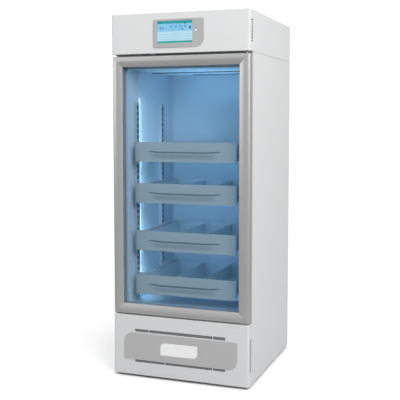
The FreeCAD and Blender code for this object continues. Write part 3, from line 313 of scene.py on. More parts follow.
# Hot-dip zinc: crystals about 9 mm across, each a little lighter or glossier than the next
crystal_size = 9
zinc, tree = new_material("galvanised_steel_spangled")
shader = tree.nodes["Principled BSDF"]
shader.inputs["Metallic"].default_value = 0.8
place = add_node(tree, "ShaderNodeTexCoord")
crystals = add_node(tree, "ShaderNodeTexVoronoi", {"Vector": place.outputs["Object"],
                                                   "Scale": 1000 / crystal_size})
shade = add_node(tree, "ShaderNodeSeparateColor", {0: crystals.outputs["Color"]})
tone = add_node(tree, "ShaderNodeMix", {0: shade.outputs[0], 6: linear("#b9bdbf"),
                                        7: linear("#9ea3a6")}, data_type="RGBA")
gloss = add_node(tree, "ShaderNodeMapRange", {"Value": shade.outputs[1], "To Min": 0.32,
                                              "To Max": 0.5})
tree.links.new(tone.outputs[2], shader.inputs["Base Color"])
tree.links.new(gloss.outputs[0], shader.inputs["Roughness"])
soften("base_frame", 0.4, zinc)


# The levelling feet: moulded pads on zinc-plated studs that thread into the base frame. Each has a
# hexagon nut that locks it against the frame.
def turned(profile, centre, axis="Z", segments=48):
    """Points and faces of a shape turned round an axis; the profile holds (radius, height) pairs
    in millimetres and starts and ends on the axis, and the centre is in metres."""
    points = []
    for step in range(segments):
        turn = 2 * math.pi * step / segments
        for radius, height in profile:
            spot = (radius * math.cos(turn), radius * math.sin(turn), height)
            if axis == "Y":
                spot = (spot[0], spot[2], -spot[1])
            points.append([centre[i] + spot[i] / 1000 for i in range(3)])
    faces = []
    count = len(profile)
    for step in range(segments):
        for row in range(count - 1):
            here = step * count + row
            there = (step + 1) % segments * count + row
            face = [here, there, there + 1, here + 1]
            if profile[row][0] == 0:
                face.remove(there)
            if profile[row + 1][0] == 0:
                face.remove(there + 1)
            faces.append(face)
    return points, faces


def joined(*shapes):
    """Several (points, faces) pairs as one."""
    points = []
    faces = []
    for more_points, more_faces in shapes:
        start = len(points)
        points.extend(more_points)
        faces.extend([start + index for index in face] for face in more_faces)
    return points, faces


foot_places = [(x, y) for x in (-0.255, 0.255) for y in (-0.235, 0.281)]
pad_top = 12
nut_top = 19
stud_top = 33.5
thread_pitch = 1.5
thread_root = 4.4
thread_crest = 5.0
pad_profile = [(0, 0), (19.5, 0), (20, 1), (20, 7), (17, 10.5), (9.5, pad_top), (0, pad_top)]
nut_profile = [(0, pad_top), (8.6, pad_top), (9.2, 13), (9.2, 18), (8.6, nut_top), (0, nut_top)]
thread_profile = [(0, pad_top)]
for number in range(int((stud_top - nut_top) / thread_pitch)):
    level = nut_top + number * thread_pitch
    thread_profile += [(thread_root, level + 0.1), (thread_crest, level + thread_pitch / 2)]
thread_profile += [(thread_root, stud_top), (0, stud_top)]

# Rubber is matt and a little dusty; bright zinc plate is smooth, with a warm cast
rubber = grained("moulded_rubber_black", "#2b2c2e", "#232426", 0.6, (0.6, 0.75), 0.03)
plated = grained("zinc_plated_steel_bright", "#c9c6b8", "#b9b6a8", 0.5, (0.25, 0.35), 0.01,
                 Metallic=1.0)
pads = joined(*[turned(pad_profile, (x, y, 0)) for x, y in foot_places])
shaped_piece("foot_pads", pads, 0.3, "cabinet", rubber,
             ("levelling_feet",))
nuts = joined(*[turned(nut_profile, (x, y, 0), segments=6) for x, y in foot_places])
shaped_piece("foot_nuts", nuts, 0.3, "cabinet", plated)
studs = joined(*[turned(thread_profile, (x, y, 0), segments=24) for x, y in foot_places])
shaped_piece("foot_studs", studs, 0.05, "cabinet", plated, angle=60)


# The compressor: a hermetic steel shell enamelled black, with a weld seam round its middle, on a
# foot plate with four rubber mounts. Its relay sits under a clipped plastic cover on the side.
shell_centre = (-0.130, 0.193, 0.0)
stub_place = (-0.150, 0.150, 0.0)
seam_profile = [(0, 99), (75.8, 99), (76.6, 100), (76.6, 104), (75.8, 105), (0, 105)]
stub_profile = [(0, 170), (4.0, 170), (4.0, 180.6), (3.4, 181.4), (0, 181.4)]
clip_width = 6
clip_sheet = 1
cover_low, cover_high = (-66, 494, 76), (-42.6, 546, 126)
middle_z = (cover_low[2] + cover_high[2]) / 2
clip_low = (cover_low[0], cover_low[1] - clip_sheet, middle_z - clip_width / 2)
clip_high = (cover_high[0] + clip_sheet, cover_high[1] + clip_sheet, middle_z + clip_width / 2)

# Baked enamel is a deep black with a soft shine; copper dulls and darkens where it was handled;
# the moulded plastic is a matt charcoal
enamel = grained("baked_enamel_black", "#1d1e20", "#151618", 2.0, (0.22, 0.36), 0.06)
copper = grained("copper_tube_dull", "#b06f4c", "#8f5638", 6.0, (0.3, 0.45), 0.02, Metallic=1.0)
relay_plastic = grained("moulded_plastic_charcoal", "#303236", "#292b2f", 0.7, (0.45, 0.55), 0.03)
soften("compressor", 0.15, enamel)
shaped_piece("compressor_seam", turned(seam_profile, shell_centre, segments=96), 0.3, "cabinet",
             enamel)
shaped_piece("process_stub", turned(stub_profile, stub_place, segments=24), 0.2, "cabinet",
             copper)
shaped_piece("relay_cover", boxes([(cover_low, cover_high)]), 2.0, "cabinet",
             relay_plastic)
shaped_piece("relay_clip", boxes([(clip_low, clip_high)]), 0.4, "cabinet",
             plated)


# The condenser: aluminium fins pressed on copper tubes, whose return bends stand out at both ends.
# Its end plates and the fan's shroud are galvanised sheet.
def new_tree(name, sockets):
    """An empty Geometry Nodes tree with its named inputs, and its input node."""
    tree = bpy.data.node_groups.new(name, "GeometryNodeTree")
    for label, kind in sockets.items():
        tree.interface.new_socket(label, in_out="INPUT", socket_type=kind)
    tree.interface.new_socket("Geometry", in_out="OUTPUT", socket_type="NodeSocketGeometry")
    return tree, add_node(tree, "NodeGroupInput").outputs


def end_tree(tree, geometry, material):
    """Closes a tree: instances made real, and the finish set."""
    real = add_node(tree, "GeometryNodeRealizeInstances", {0: geometry})
    coated = add_node(tree, "GeometryNodeSetMaterial", {"Geometry": real.outputs[0],
                                                        "Material": material})
    add_node(tree, "NodeGroupOutput", {0: coated.outputs[0]})


def grown_mesh(name, tree, values, points=()):
    """The mesh that a Geometry Nodes tree gives for these values, grown on these points."""
    base = bpy.data.meshes.new(name + "_base")
    base.from_pydata([Vector(point) for point in points], [], [])
    holder = bpy.data.objects.new(name, base)
    scene.collection.objects.link(holder)
    modifier = holder.modifiers.new(tree.name, "NODES")
    modifier.node_group = tree
    for item in tree.interface.items_tree:
        if item.in_out == "INPUT" and item.name in values:
            modifier[item.identifier] = values[item.name]
    return applied(holder)


def row_tree(name, material):
    """A straight row of equal small blocks, by their count, first place, step and size."""
    tree, given = new_tree(name, {"Count": "NodeSocketInt", "First": "NodeSocketVector",
                                  "Step": "NodeSocketVector", "Size": "NodeSocketVector"})
    row = add_node(tree, "GeometryNodeMeshLine", {"Count": given["Count"],
                                                  "Start Location": given["First"],
                                                  "Offset": given["Step"]})
    block = add_node(tree, "GeometryNodeMeshCube", {"Size": given["Size"]})
    blocks = add_node(tree, "GeometryNodeInstanceOnPoints", {"Points": row.outputs[0],
                                                             "Instance": block.outputs[0]})
    end_tree(tree, blocks.outputs[0], material)
    return tree


# Thin rolled aluminium: even, pale and half bright
fin_metal = grained("rolled_aluminium_fin", "#c4c7c9", "#aeb2b5", 0.8, (0.3, 0.42), 0.01,
                    Metallic=1.0)
fin_tree = row_tree("fin_row", fin_metal)
fin_thickness = 0.3
fin_pitch = 2.4
fin_proud = 0.6
end_plate = 1.5


def dress_coil(node, half_width, middle_x, low, high):
    """Fins and end plates over a coil's pack, whose bends are bared as copper; low and high are
    the pack's corners as (setback, level), in millimetres."""
    mesh = nodes[node].data
    mesh.materials.clear()
    mesh.materials.append(fin_metal)
    mesh.materials.append(copper)
    for face in mesh.polygons:
        face.material_index = int(abs(face.center.x * 1000 - middle_x) > half_width + 0.01)
    count = int((2 * half_width - 2 * end_plate) / fin_pitch)
    first = middle_x - (count - 1) * fin_pitch / 2
    middle = (first / 1000, (low[0] + high[0]) / 2000 + front_plane, (low[1] + high[1]) / 2000)
    size = Vector((fin_thickness, high[0] - low[0] + 2 * fin_proud,
                   high[1] - low[1] + 2 * fin_proud)) / 1000
    values = {"Count": count, "First": middle, "Step": (fin_pitch / 1000, 0, 0), "Size": size}
    add_piece(node + "_fins", grown_mesh(node + "_fins", fin_tree, values), body_of[node])
    ends = []
    for x in (middle_x - half_width, middle_x + half_width - end_plate):
        ends.append(((x, low[0] - 1, low[1] - fin_proud),
                     (x + end_plate, high[0] + 1, high[1] + fin_proud)))
    shaped_piece(node + "_ends", boxes(ends), 0.2, body_of[node], zinc)


dress_coil("condenser_coil", 90, 100, (90, 13), (149, 181.4))

# The shroud is pressed, and the wheel moulded in black plastic with a low satin shine; a wire guard
# of rings and spokes closes the bore
moulded = grained("moulded_plastic_black", "#1e1f21", "#18191b", 0.7, (0.38, 0.5), 0.03)
soften("condenser_fan_shroud", 0.3, zinc)
finish_node("condenser_fan", moulded)
guard_inputs = {"Rings": "NodeSocketInt", "First Radius": "NodeSocketFloat",
                "Ring Pitch": "NodeSocketFloat", "Outer Radius": "NodeSocketFloat",
                "Wire Radius": "NodeSocketFloat", "Spokes": "NodeSocketInt",
                "Centre": "NodeSocketVector", "Tilt": "NodeSocketVector"}


def guard_tree(name, material):
    """Concentric wire rings on spokes, laid in the XY plane, tilted and moved to the centre."""
    tree, given = new_tree(name, guard_inputs)
    dots = add_node(tree, "GeometryNodeMeshLine", {"Count": given["Rings"],
                                                   "Offset": (0.0, 0.0, 0.0)})
    index = add_node(tree, "GeometryNodeInputIndex").outputs[0]
    widening = add_node(tree, "ShaderNodeMath", {0: index, 1: given["Ring Pitch"],
                                                 2: given["First Radius"]},
                        operation="MULTIPLY_ADD")
    circle = add_node(tree, "GeometryNodeCurvePrimitiveCircle", {"Resolution": 64, "Radius": 1.0})
    rings = add_node(tree, "GeometryNodeInstanceOnPoints", {"Points": dots.outputs[0],
                                                            "Instance": circle.outputs[0],
                                                            "Scale": widening.outputs[0]})
    posts = add_node(tree, "GeometryNodeMeshLine", {"Count": given["Spokes"],
                                                    "Offset": (0.0, 0.0, 0.0)})
    share = add_node(tree, "ShaderNodeMath", {0: index, 1: given["Spokes"]}, operation="DIVIDE")
    angle = add_node(tree, "ShaderNodeMath", {0: share.outputs[0], 1: 2 * math.pi},
                     operation="MULTIPLY")
    turn = add_node(tree, "ShaderNodeCombineXYZ", {"Z": angle.outputs[0]})
    start = add_node(tree, "ShaderNodeCombineXYZ", {"X": given["First Radius"]})
    end = add_node(tree, "ShaderNodeCombineXYZ", {"X": given["Outer Radius"]})
    line = add_node(tree, "GeometryNodeCurvePrimitiveLine", {"Start": start.outputs[0],
                                                             "End": end.outputs[0]})
    spokes = add_node(tree, "GeometryNodeInstanceOnPoints", {"Points": posts.outputs[0],
                                                             "Instance": line.outputs[0],
                                                             "Rotation": turn.outputs[0]})
    both = add_node(tree, "GeometryNodeJoinGeometry", {0: rings.outputs[0]})
    tree.links.new(spokes.outputs[0], both.inputs[0])
    real = add_node(tree, "GeometryNodeRealizeInstances", {0: both.outputs[0]})
    section = add_node(tree, "GeometryNodeCurvePrimitiveCircle", {"Resolution": 8,
                                                                  "Radius": given["Wire Radius"]})
    wires = add_node(tree, "GeometryNodeCurveToMesh", {"Curve": real.outputs[0],
                                                       "Profile Curve": section.outputs[0],
                                                       "Fill Caps": True})
    placed = add_node(tree, "GeometryNodeTransform", {"Geometry": wires.outputs[0],
                                                      "Translation": given["Centre"],
                                                      "Rotation": given["Tilt"]})
    end_tree(tree, placed.outputs[0], material)
    return tree


guard = {"Rings": 7, "First Radius": 0.012, "Ring Pitch": 0.0105, "Outer Radius": 0.077,
         "Wire Radius": 0.0009, "Spokes": 4, "Centre": (0.100, -0.1358, 0.097),
         "Tilt": (math.pi / 2, 0, 0)}
guard_mesh = grown_mesh("condenser_fan_guard", guard_tree("plated_guard", plated), guard)
add_piece("condenser_fan_guard", guard_mesh, "cabinet")


# The refrigerant lines: soft copper tube from the compressor to the two coils, bent cold and
# brazed at its ends. It is dulled by handling, like the stub on the compressor.
finish_node("refrigerant_lines", copper)


# The cabinet's side and back panels: sheet steel folded at the front edge and powder coated in
# white, with the faint orange peel of a baked powder.
powder = grained("powder_coat_white", "#dcdddd", "#d7d8d9", 1.4, (0.55, 0.65), 0.05,
                 Specular_IOR_Level=0.3)
soften("side_panel_left", 0.6, powder)
soften("side_panel_right", 0.6, powder)

# The back is bare galvanised sheet, oiled, and clouded in broad soft patches
back_sheet = grained("galvanised_sheet_oiled", "#b4b7b8", "#a7abad", 5.0, (0.35, 0.5), 0.02,
                     Metallic=0.7)
soften("back_panel", 0.3, back_sheet)


# The insulation: rigid polyurethane foamed in place between the panels and the liner, where it
# stays out of sight. Its skin is beige, matt and finely pitted.
foam = grained("polyurethane_foam_beige", "#b3ac98", "#a09984", 1.2, (0.8, 0.95), 0.2)
finish_node("insulation", foam)


# The liner: enamelled sheet, its upright corners folded to a broad radius, with the lintel above
# and the sill below the door opening. The ceiling panel hides the cold-air unit.

# The enamel is a cool white with a soft even shine
liner_enamel = grained("liner_enamel_white", "#dbe6ed", "#d3dfe7", 1.5, (0.3, 0.4), 0.03)
corner_radius = 9.0
cavity_x = 0.250
cavity_back = 0.209
cavity_floor = 0.300
on_plane = 1e-5
flat_angle = 0.4
shortest_fold = 0.2
shape = bmesh.new()
shape.from_mesh(nodes["inner_liner"].data)
bmesh.ops.remove_doubles(shape, verts=shape.verts, dist=same_place)
bmesh.ops.dissolve_limit(shape, angle_limit=math.radians(flat_angle), verts=shape.verts,
                         edges=shape.edges)

# The long edges where two of the cavity's walls meet are the folded ones
folded = []
for edge in shape.edges:
    start, end = (vertex.co for vertex in edge.verts)
    middle = (start + end) / 2
    at_wall = abs(abs(middle.x) - cavity_x) < on_plane
    at_back = abs(middle.y - cavity_back) < on_plane
    at_floor = abs(middle.z - cavity_floor) < on_plane
    if at_wall + at_back + at_floor >= 2 and (end - start).length > shortest_fold:
        folded.append(edge)
bmesh.ops.bevel(shape, geom=folded, offset=corner_radius / 1000, segments=5, affect="EDGES",
                profile=0.5, clamp_overlap=False)
liner_points = [vertex.co.copy() for vertex in shape.verts]
liner_faces = [[vertex.index for vertex in face.verts] for face in shape.faces]
shape.free()
shaped_piece("inner_liner_soft", (liner_points, liner_faces), 0.3, "cabinet",
             liner_enamel, ("inner_liner",), 50)
soften("ceiling_panel", 0.3, liner_enamel)


# The ceiling's trims: two strips of extruded plastic, smooth and half matt, whose grey is painted
# shade for the dark lines at the ceiling's joint and its return slot. They clip over the joint and
# the slot, and hang a little down.
trim_shade_plastic = grained("extruded_plastic_grey", "#7d868c", "#737c82", 0.8, (0.45, 0.55), 0.02)
trim_top = 1299.4
joint_trim = ((-244, 284.2, 1293.6), (246, 286.4, trim_top))
return_trim = ((-104, 449.2, 1294), (239, 451.2, trim_top))
shaped_piece("ceiling_trims", boxes([joint_trim, return_trim]), 0.5, "cabinet",
             trim_shade_plastic)


# The cold-air unit above the ceiling: a fan in a moulded frame, with the evaporator behind it. A
# wire guard, dipped in white plastic with a smooth thick skin, lies in the ceiling's hole.
soften("evaporator_fan_frame", 0.5, moulded)
finish_node("evaporator_fan", moulded)
dress_coil("evaporator_coil", 190, 0, (341, 1300.8), (469, 1343.4))
dipped = grained("dipped_wire_white", "#dfe7ec", "#d5dee4", 0.8, (0.4, 0.5), 0.02)
guard = {"Rings": 10, "First Radius": 0.008, "Ring Pitch": 0.0052, "Outer Radius": 0.056,
         "Wire Radius": 0.0011, "Spokes": 6, "Centre": (0.0, -0.122, 1.2995), "Tilt": (0, 0, 0)}
guard_mesh = grown_mesh("ceiling_fan_guard", guard_tree("dipped_guard", dipped), guard)
add_piece("ceiling_fan_guard", guard_mesh, "cabinet")


# The uprights: rolled steel channels with a row of punched slots, screwed to the side walls. They
# are satin outside; a dark strip just behind the slots is painted shade, so that the slots read
# dark.
upright_steel = grained("sheet_steel_satin", "#c3c9cd", "#b7bec3", 1.0, (0.32, 0.45), 0.01,
                        Metallic=0.25)
# Painted shade: the dark sheet that stands just behind the slots
upright_painted_shade = grained("rolled_steel_dark", "#2c343a", "#21282d", 1.0, (0.5, 0.65), 0.02)
wall_x, face_x = 250, 238
channel_low, channel_high = 320, 1162
channel_width = 34
channel_sheet = 1.2
channel_setbacks = (105, 381)
slot_count = 33
slot_pitch = 25
slot_height = 16
slot_start, slot_end = 10, 24
lowest_slot = 332
slot_shade_x = (239.5, 240.5)
slot_shade_inset = 2
channel_levels = [channel_low]
for number in range(slot_count):
    level = lowest_slot + slot_pitch * number
    channel_levels += [level, level + slot_height]
channel_levels.append(channel_high)
rows = len(channel_levels)
channels = []
slot_shade_strips = []
for side in (-1, 1):
    for y in channel_setbacks:
        across = [(wall_x, y), (face_x, y), (face_x, y + slot_start), (face_x, y + slot_end),
                  (face_x, y + channel_width), (wall_x, y + channel_width)]
        points = [(side * x / 1000, setback / 1000 + front_plane, z / 1000)
                  for x, setback in across for z in channel_levels]
        faces = []
        for column in range(len(across) - 1):
            for row in range(rows - 1):
                at_slot = across[column] == (face_x, y + slot_start) and row % 2
                if not at_slot:
                    here = column * rows + row
                    faces.append([here, here + rows, here + rows + 1, here + 1])
        channels.append((points, faces))
        x_low, x_high = sorted(side * x for x in slot_shade_x)
        slot_shade_strips.append(((x_low, y + slot_shade_inset, channel_low + slot_shade_inset),
                       (x_high, y + channel_width - slot_shade_inset, channel_high - slot_shade_inset)))
shaped_piece("pilasters_soft", joined(*channels), 0.2, "cabinet",
             upright_steel, ("pilasters",), 35, channel_sheet)
shaped_piece("pilaster_backs", boxes(slot_shade_strips), 0.3, "cabinet", upright_painted_shade)


# The light strip: an extruded white plastic profile on the left wall with a row of light-emitting
# chips in it, under a frosted lens between two end caps. Its wires rise to the ceiling in the same
# plastic, which is smooth and half matt.
channel_plastic = grained("extruded_plastic_white", "#dde5ea", "#d4dde3", 1.0, (0.4, 0.5), 0.02)
soften("led_strip", 0.4, channel_plastic)

# The lens is frosted acrylic, lit from behind: an even cool white with the faintest cloud in it
lit_lens, tree = new_material("frosted_lens_lit")
shader = tree.nodes["Principled BSDF"]
shader.inputs["Roughness"].default_value = 0.35
shader.inputs["Emission Strength"].default_value = 1.0
place = add_node(tree, "ShaderNodeTexCoord")
frost = add_node(tree, "ShaderNodeTexNoise", {"Vector": place.outputs["Object"], "Scale": 900.0})
glow = add_node(tree, "ShaderNodeMix", {0: frost.outputs["Fac"], 6: linear("#dff6ff"),
                                        7: linear("#c4ecfb")}, data_type="RGBA")
tree.links.new(glow.outputs[2], shader.inputs["Base Color"])
tree.links.new(glow.outputs[2], shader.inputs["Emission Color"])
lens_low, lens_high = 317, 1182
cap_low, cap_high = 313.5, 1203
cap_sides = (-250, -240.6)
cap_setbacks = (139.9, 153.1)
lens_profile = [(-241.9, 141.5), (-240.9, 142.6), (-240.3, 145.0), (-240.3, 148.0),
                (-240.9, 150.4), (-241.9, 151.5)]


def extruded(outline, z_low, z_high):
    """Points and faces of an upright extrusion; the outline holds (x, setback) in millimetres."""
    count = len(outline)
    points = [(x / 1000, y / 1000 + front_plane, z / 1000) for z in (z_low, z_high)
              for x, y in outline]
    faces = [list(range(count)), list(range(count, 2 * count))]
    for index in range(count):
        following = (index + 1) % count
        faces.append([index, following, count + following, count + index])
    return points, faces


shaped_piece("led_lens", extruded(lens_profile, lens_low, lens_high), 0.1, "cabinet",
             lit_lens, angle=60)
caps = [((cap_sides[0], cap_setbacks[0], low), (cap_sides[1], cap_setbacks[1], high))
        for low, high in ((cap_low, lens_low), (lens_high, cap_high))]
shaped_piece("led_end_caps", boxes(caps), 0.8, "cabinet", channel_plastic)

# The chips are pale ceramic, one every 10.5 mm
strip_low, strip_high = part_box("led_strip")
strip_y = (strip_low.y + strip_high.y) / 2
chip_white = grained("ceramic_chip_white", "#f2f2ea", "#e6e6da", 0.4, (0.3, 0.4), 0.01)
chips = {"Count": 82, "First": (-0.2415, strip_y, 0.3235), "Step": (0, 0, 0.0105),
         "Size": (0.001, 0.0028, 0.0035)}
add_piece("led_chips", grown_mesh("led_chips", row_tree("chip_row", chip_white), chips), "cabinet")

# The strip's own light comes first; the others are what the white liner throws back on the
# ceiling, between the drawers, into the trays, on the back wall and from the right
strip_middle = (-0.238, strip_y, 0.75)
soft_light("led_light", strip_middle, (-0.10, 0.06, 0.75), 0.012, 0.86, 0.85, "#b9dcf6")
ceiling_glow = soft_light("ceiling_glow", (0.03, -0.03, 1.10), (0.03, -0.02, 1.30), 0.36, 0.36,
                          0.55, "#9fd0f2")
ceiling_glow.data.spread = math.radians(100)
for level in (0.325, 0.490, 0.680, 0.885):
    soft_light("shelf_glow_%d" % (level * 1000), (0.0, -0.05, level), (0.02, 0.20, level + 0.02),
               0.36, 0.03, 0.15, "#8cc3f6")
for level in (0.530, 0.733, 0.905):
    soft_light("tray_glow_%d" % (level * 1000), (0.0, -0.02, level), (0.0, -0.01, level - 0.05),
               0.38, 0.30, 0.16, "#a5dbf5")
soft_light("back_glow", (-0.06, -0.02, 1.15), (-0.10, 0.20, 1.12), 0.30, 0.26, 0.07, "#97cbf6")
soft_light("right_glow", (0.2485, -0.268, 0.66), (0.0, -0.268, 0.66), 0.05, 0.74, 0.07, "#8fc6f7")


# The runner brackets: galvanised rails hooked into the uprights, each with the fixed half of a
# drawer runner riveted on. The zinc plate is smooth and half bright; its pale tone is partly
# painted light, which lifts the shade beside the drawer fronts.
runner_steel_lit = grained("zinc_plated_steel_pale", "#d0d6d9", "#c3cacd", 0.7, (0.3, 0.42), 0.01,
                       Metallic=0.3)
soften("runner_brackets", 0.2, runner_steel_lit)
soften("runner_outer_members", 0.2, runner_steel_lit)
rivet_profile = [(0, -0.4), (2.6, -0.4), (2.6, 0.3), (1.6, 1.0), (0, 1.2)]
rivet_x = 0.2110
rivet_setbacks = (112, 250, 388)
runner_levels = (968, 794, 591, 403)
points, faces = turned(rivet_profile, (0, 0, 0), segments=16)
rivets = []
for level in runner_levels:
    for side in (-1, 1):
        for setback in rivet_setbacks:
            laid = [(side * (rivet_x - out), setback / 1000 + front_plane + along,
                     level / 1000 + up) for along, up, out in points]
            rivets.append((laid, faces))
shaped_piece("runner_rivets", joined(*rivets), 0.1, "cabinet", plated)


# The drawers: folded trays of satin stainless sheet with two dividers each, on the sliding halves
# of the runners. In the front a slit is cut and the sheet below it pressed forward as a pull lip;
# a grey strip behind the slit is painted shade, which draws the slit as a dark line.

# The fronts have an even satin shine, the trays a duller one, and the strip of painted shade
# behind each slit is quite matt
drawer_steel = grained("stainless_sheet_satin", "#c3c9cc", "#b8bfc3", 1.0, (0.36, 0.48), 0.01,
                       Metallic=0.2)
tray_steel = grained("stainless_sheet_dull", "#d3dade", "#c6ced3", 1.2, (0.38, 0.5), 0.01,
                     Metallic=0.25)
slit_shade = grained("felt_grey", "#7d8a94", "#6f7c86", 0.4, (0.9, 1.0), 0.1)
slit_half = 163
slit_drop = 42
slit_height = 5.4
slit_sag = 4.0
lip_reach = 8.0
lip_height = 30
lip_run = 62
slit_room = 6
slit_run = 10
front_half = 225
front_bend = 10
front_height = 83
front_setback = 55
flange_end = 75
front_sheet = 1.2
bend_steps = 5
flat_steps = 68
rises = (0, 0.12, 0.25, 0.38, 0.5, 0.62, 0.75, 0.88, 1)


def smooth(share):
    """0 to 1 with an easy start and end."""
    share = min(max(share, 0), 1)
    return share * share * (3 - 2 * share)


def drawer_front_points(top):
    """Points and faces of a front's outer surface: a grid across the U-shaped sheet, its lower
    part pressed forward in a long bow. Its faces leave out the row between the lip and the upper
    part, which is the slit."""
    bend_start = front_setback + front_bend
    across = [(-front_half, flange_end), (-front_half, bend_start)]
    for step in range(1, bend_steps + 1):
        turn = math.pi / 2 * step / bend_steps
        across.append((-front_half + front_bend * (1 - math.cos(turn)),
                       bend_start - front_bend * math.sin(turn)))
    flat_half = front_half - front_bend
    middle = [(-flat_half + 2 * flat_half * step / flat_steps, front_setback)
              for step in range(1, flat_steps)]
    across = across + middle + [(-x, y) for x, y in reversed(across)]
    points = []
    for x, y in across:
        on_face = y == front_setback
        inward = smooth((slit_half - abs(x)) / lip_run) if on_face else 0
        gap = slit_height * smooth((slit_half - abs(x)) / slit_run) if on_face else 0
        slit_low = top - slit_drop + (slit_room - slit_height) / 2 - slit_sag * inward
        foot = top - slit_drop - lip_height
        levels = [(top - front_height, 0), ((top - front_height + foot) / 2, 0)]
        levels += [(foot + (slit_low - foot) * rise, lip_reach * inward * smooth(rise))
                   for rise in rises]
        levels += [(slit_low + gap, 0), ((slit_low + gap + top) / 2, 0), (top, 0)]
        for z, forward in levels:
            points.append((x / 1000, (y - forward) / 1000 + front_plane, z / 1000))
    rows = len(levels)
    slit_row = len(rises) + 1
    faces = []
    for column in range(len(across) - 1):
        for row in range(rows - 1):
            if row != slit_row:
                here = column * rows + row
                faces.append([here, here + rows, here + rows + 1, here + 1])
    return points, faces


slit_shade_margin = 4
slit_shade_above = 8
slit_shade_below = 22
slit_shade_setbacks = (55.75, 56.15)
for number, top in ((1, 995), (2, 821), (3, 618), (4, 430)):
    name = "drawer_%d" % number
    shaped_piece(name + "_front_soft", drawer_front_points(top), 0.3, name,
                 drawer_steel, (name + "_front",), 60, front_sheet)
    soften(name + "_tray", 0.3, tray_steel)
    soften(name + "_dividers", 0.25, tray_steel)
    soften(name + "_runners", 0.2, runner_steel_lit)
    # Painted shade: a grey strip just behind the slit
    slit_shade_low = (-slit_half - slit_shade_margin, slit_shade_setbacks[0], top - slit_drop - slit_shade_below)
    slit_shade_high = (slit_half + slit_shade_margin, slit_shade_setbacks[1], top - slit_drop + slit_shade_above)
    shaped_piece(name + "_felt", boxes([(slit_shade_low, slit_shade_high)]), 0.1, name, slit_shade)


# The door frame: four lengths of extruded aluminium profile, mitred, brushed along their length
# and satin anodised. A soft wide groove runs along each bar. Inside lies a grey moulded frame.
brush_width = 0.5
brush_length = 60
bars = (("upright", (1, 1, brush_length), ("door_stile_left", "door_stile_right")),
        ("level", (brush_length, 1, 1), ("door_rail_top", "door_rail_bottom")))

# The brushing gives a long silky sheen; its lines are drawn coarser than they are, to show
for way, stretch, names in bars:
    bar_metal = grained("satin_anodised_aluminium_" + way, "#c6c6c5", "#b9b9b8", brush_width,
                        (0.3, 0.4), 0.008, stretch, Metallic=0.5)
    for name in names:
        soften(name, 0.4, bar_metal, 60)
inner_frame_paint = grained("door_liner_grey", "#9aa3a9", "#90999f", 1.2, (0.4, 0.5), 0.03)
soften("door_inner_frame", 0.5, inner_frame_paint)


# The glazing: two panes of coated float glass on a hollow aluminium spacer, sealed at the rim
# with black butyl. The magnetic gasket behind is an extruded bellows of soft grey plastic.

# Coated float glass looks nearly clear, with a faint blue cast and a clean sheen at low angles. Its
# ratio is below that of bare glass, because the coating takes reflections away
glass_ior = 1.2
glass, tree = new_material("coated_float_glass")
tree.nodes.clear()
place = add_node(tree, "ShaderNodeTexCoord")
wave = add_node(tree, "ShaderNodeTexNoise", {"Vector": place.outputs["Object"], "Scale": 3.0})
tint = add_node(tree, "ShaderNodeMix", {0: wave.outputs["Fac"], 6: linear("#f9fdff"),
                                        7: linear("#f7fbfe")}, data_type="RGBA")
through = add_node(tree, "ShaderNodeBsdfTransparent", {"Color": tint.outputs[2]})
sheen = add_node(tree, "ShaderNodeBsdfGlossy", {"Roughness": 0.02})

# A ray that leaves a pane meets its face from inside, where the ratio is inverted; the second
# inversion here gives both faces the same sheen and keeps slanting views clear
facing = add_node(tree, "ShaderNodeNewGeometry")
ratio = add_node(tree, "ShaderNodeMapRange", {"Value": facing.outputs["Backfacing"],
                                              "To Min": glass_ior, "To Max": 1 / glass_ior})
edge = add_node(tree, "ShaderNodeFresnel", {"IOR": ratio.outputs["Result"]})
pane = add_node(tree, "ShaderNodeMixShader", {0: edge.outputs[0], 1: through.outputs[0],
                                              2: sheen.outputs[0]})
add_node(tree, "ShaderNodeOutputMaterial", {"Surface": pane.outputs[0]})
finish_node("door_outer_pane", glass)
finish_node("door_inner_pane", glass)


def framed(profile, half_x, z_low, z_high):
    """Points and faces of a mitred frame; its profile holds (inset, setback) in millimetres."""
    points = []
    for side, level in ((-1, 0), (1, 0), (1, 1), (-1, 1)):
        for inset, setback in profile:
            z = z_high - inset if level else z_low + inset
            points.append((side * (half_x - inset) / 1000, setback / 1000 + front_plane, z / 1000))
    count = len(profile)
    faces = []
    for corner in range(4):
        following = (corner + 1) % 4
        for index in range(count):
            beside = (index + 1) % count
            faces.append([corner * count + index, following * count + index,
                          following * count + beside, corner * count + beside])
    return points, faces


pane_half = 266.0
pane_low, pane_high = 301.5, 1316.5
spacer_inset = 3.0
spacer_profile = [(0, 13), (0, 23), (6, 23), (7.5, 22), (7.5, 14), (6, 13)]
butyl_profile = [(0, 13.05), (0, 22.95), (2.6, 22.95), (2.6, 13.05)]

# The spacer is pale metal straight from the roll, and butyl a matt and slightly lumpy black
spacer_metal = grained("mill_finish_aluminium", "#c6ccd0", "#b8bfc4", 0.8, (0.25, 0.35), 0.01,
                       Metallic=0.8)
butyl = grained("butyl_sealant_black", "#2a2724", "#201e1b", 1.5, (0.5, 0.7), 0.05)
spacer = framed(spacer_profile, pane_half - spacer_inset, pane_low + spacer_inset,
                pane_high - spacer_inset)
shaped_piece("glass_spacer", spacer, 0.2, "door", spacer_metal,
             ("door_glass_spacer",), 50)
shaped_piece("glass_butyl", framed(butyl_profile, pane_half, pane_low, pane_high), 0.1, "door",
             butyl, angle=50)

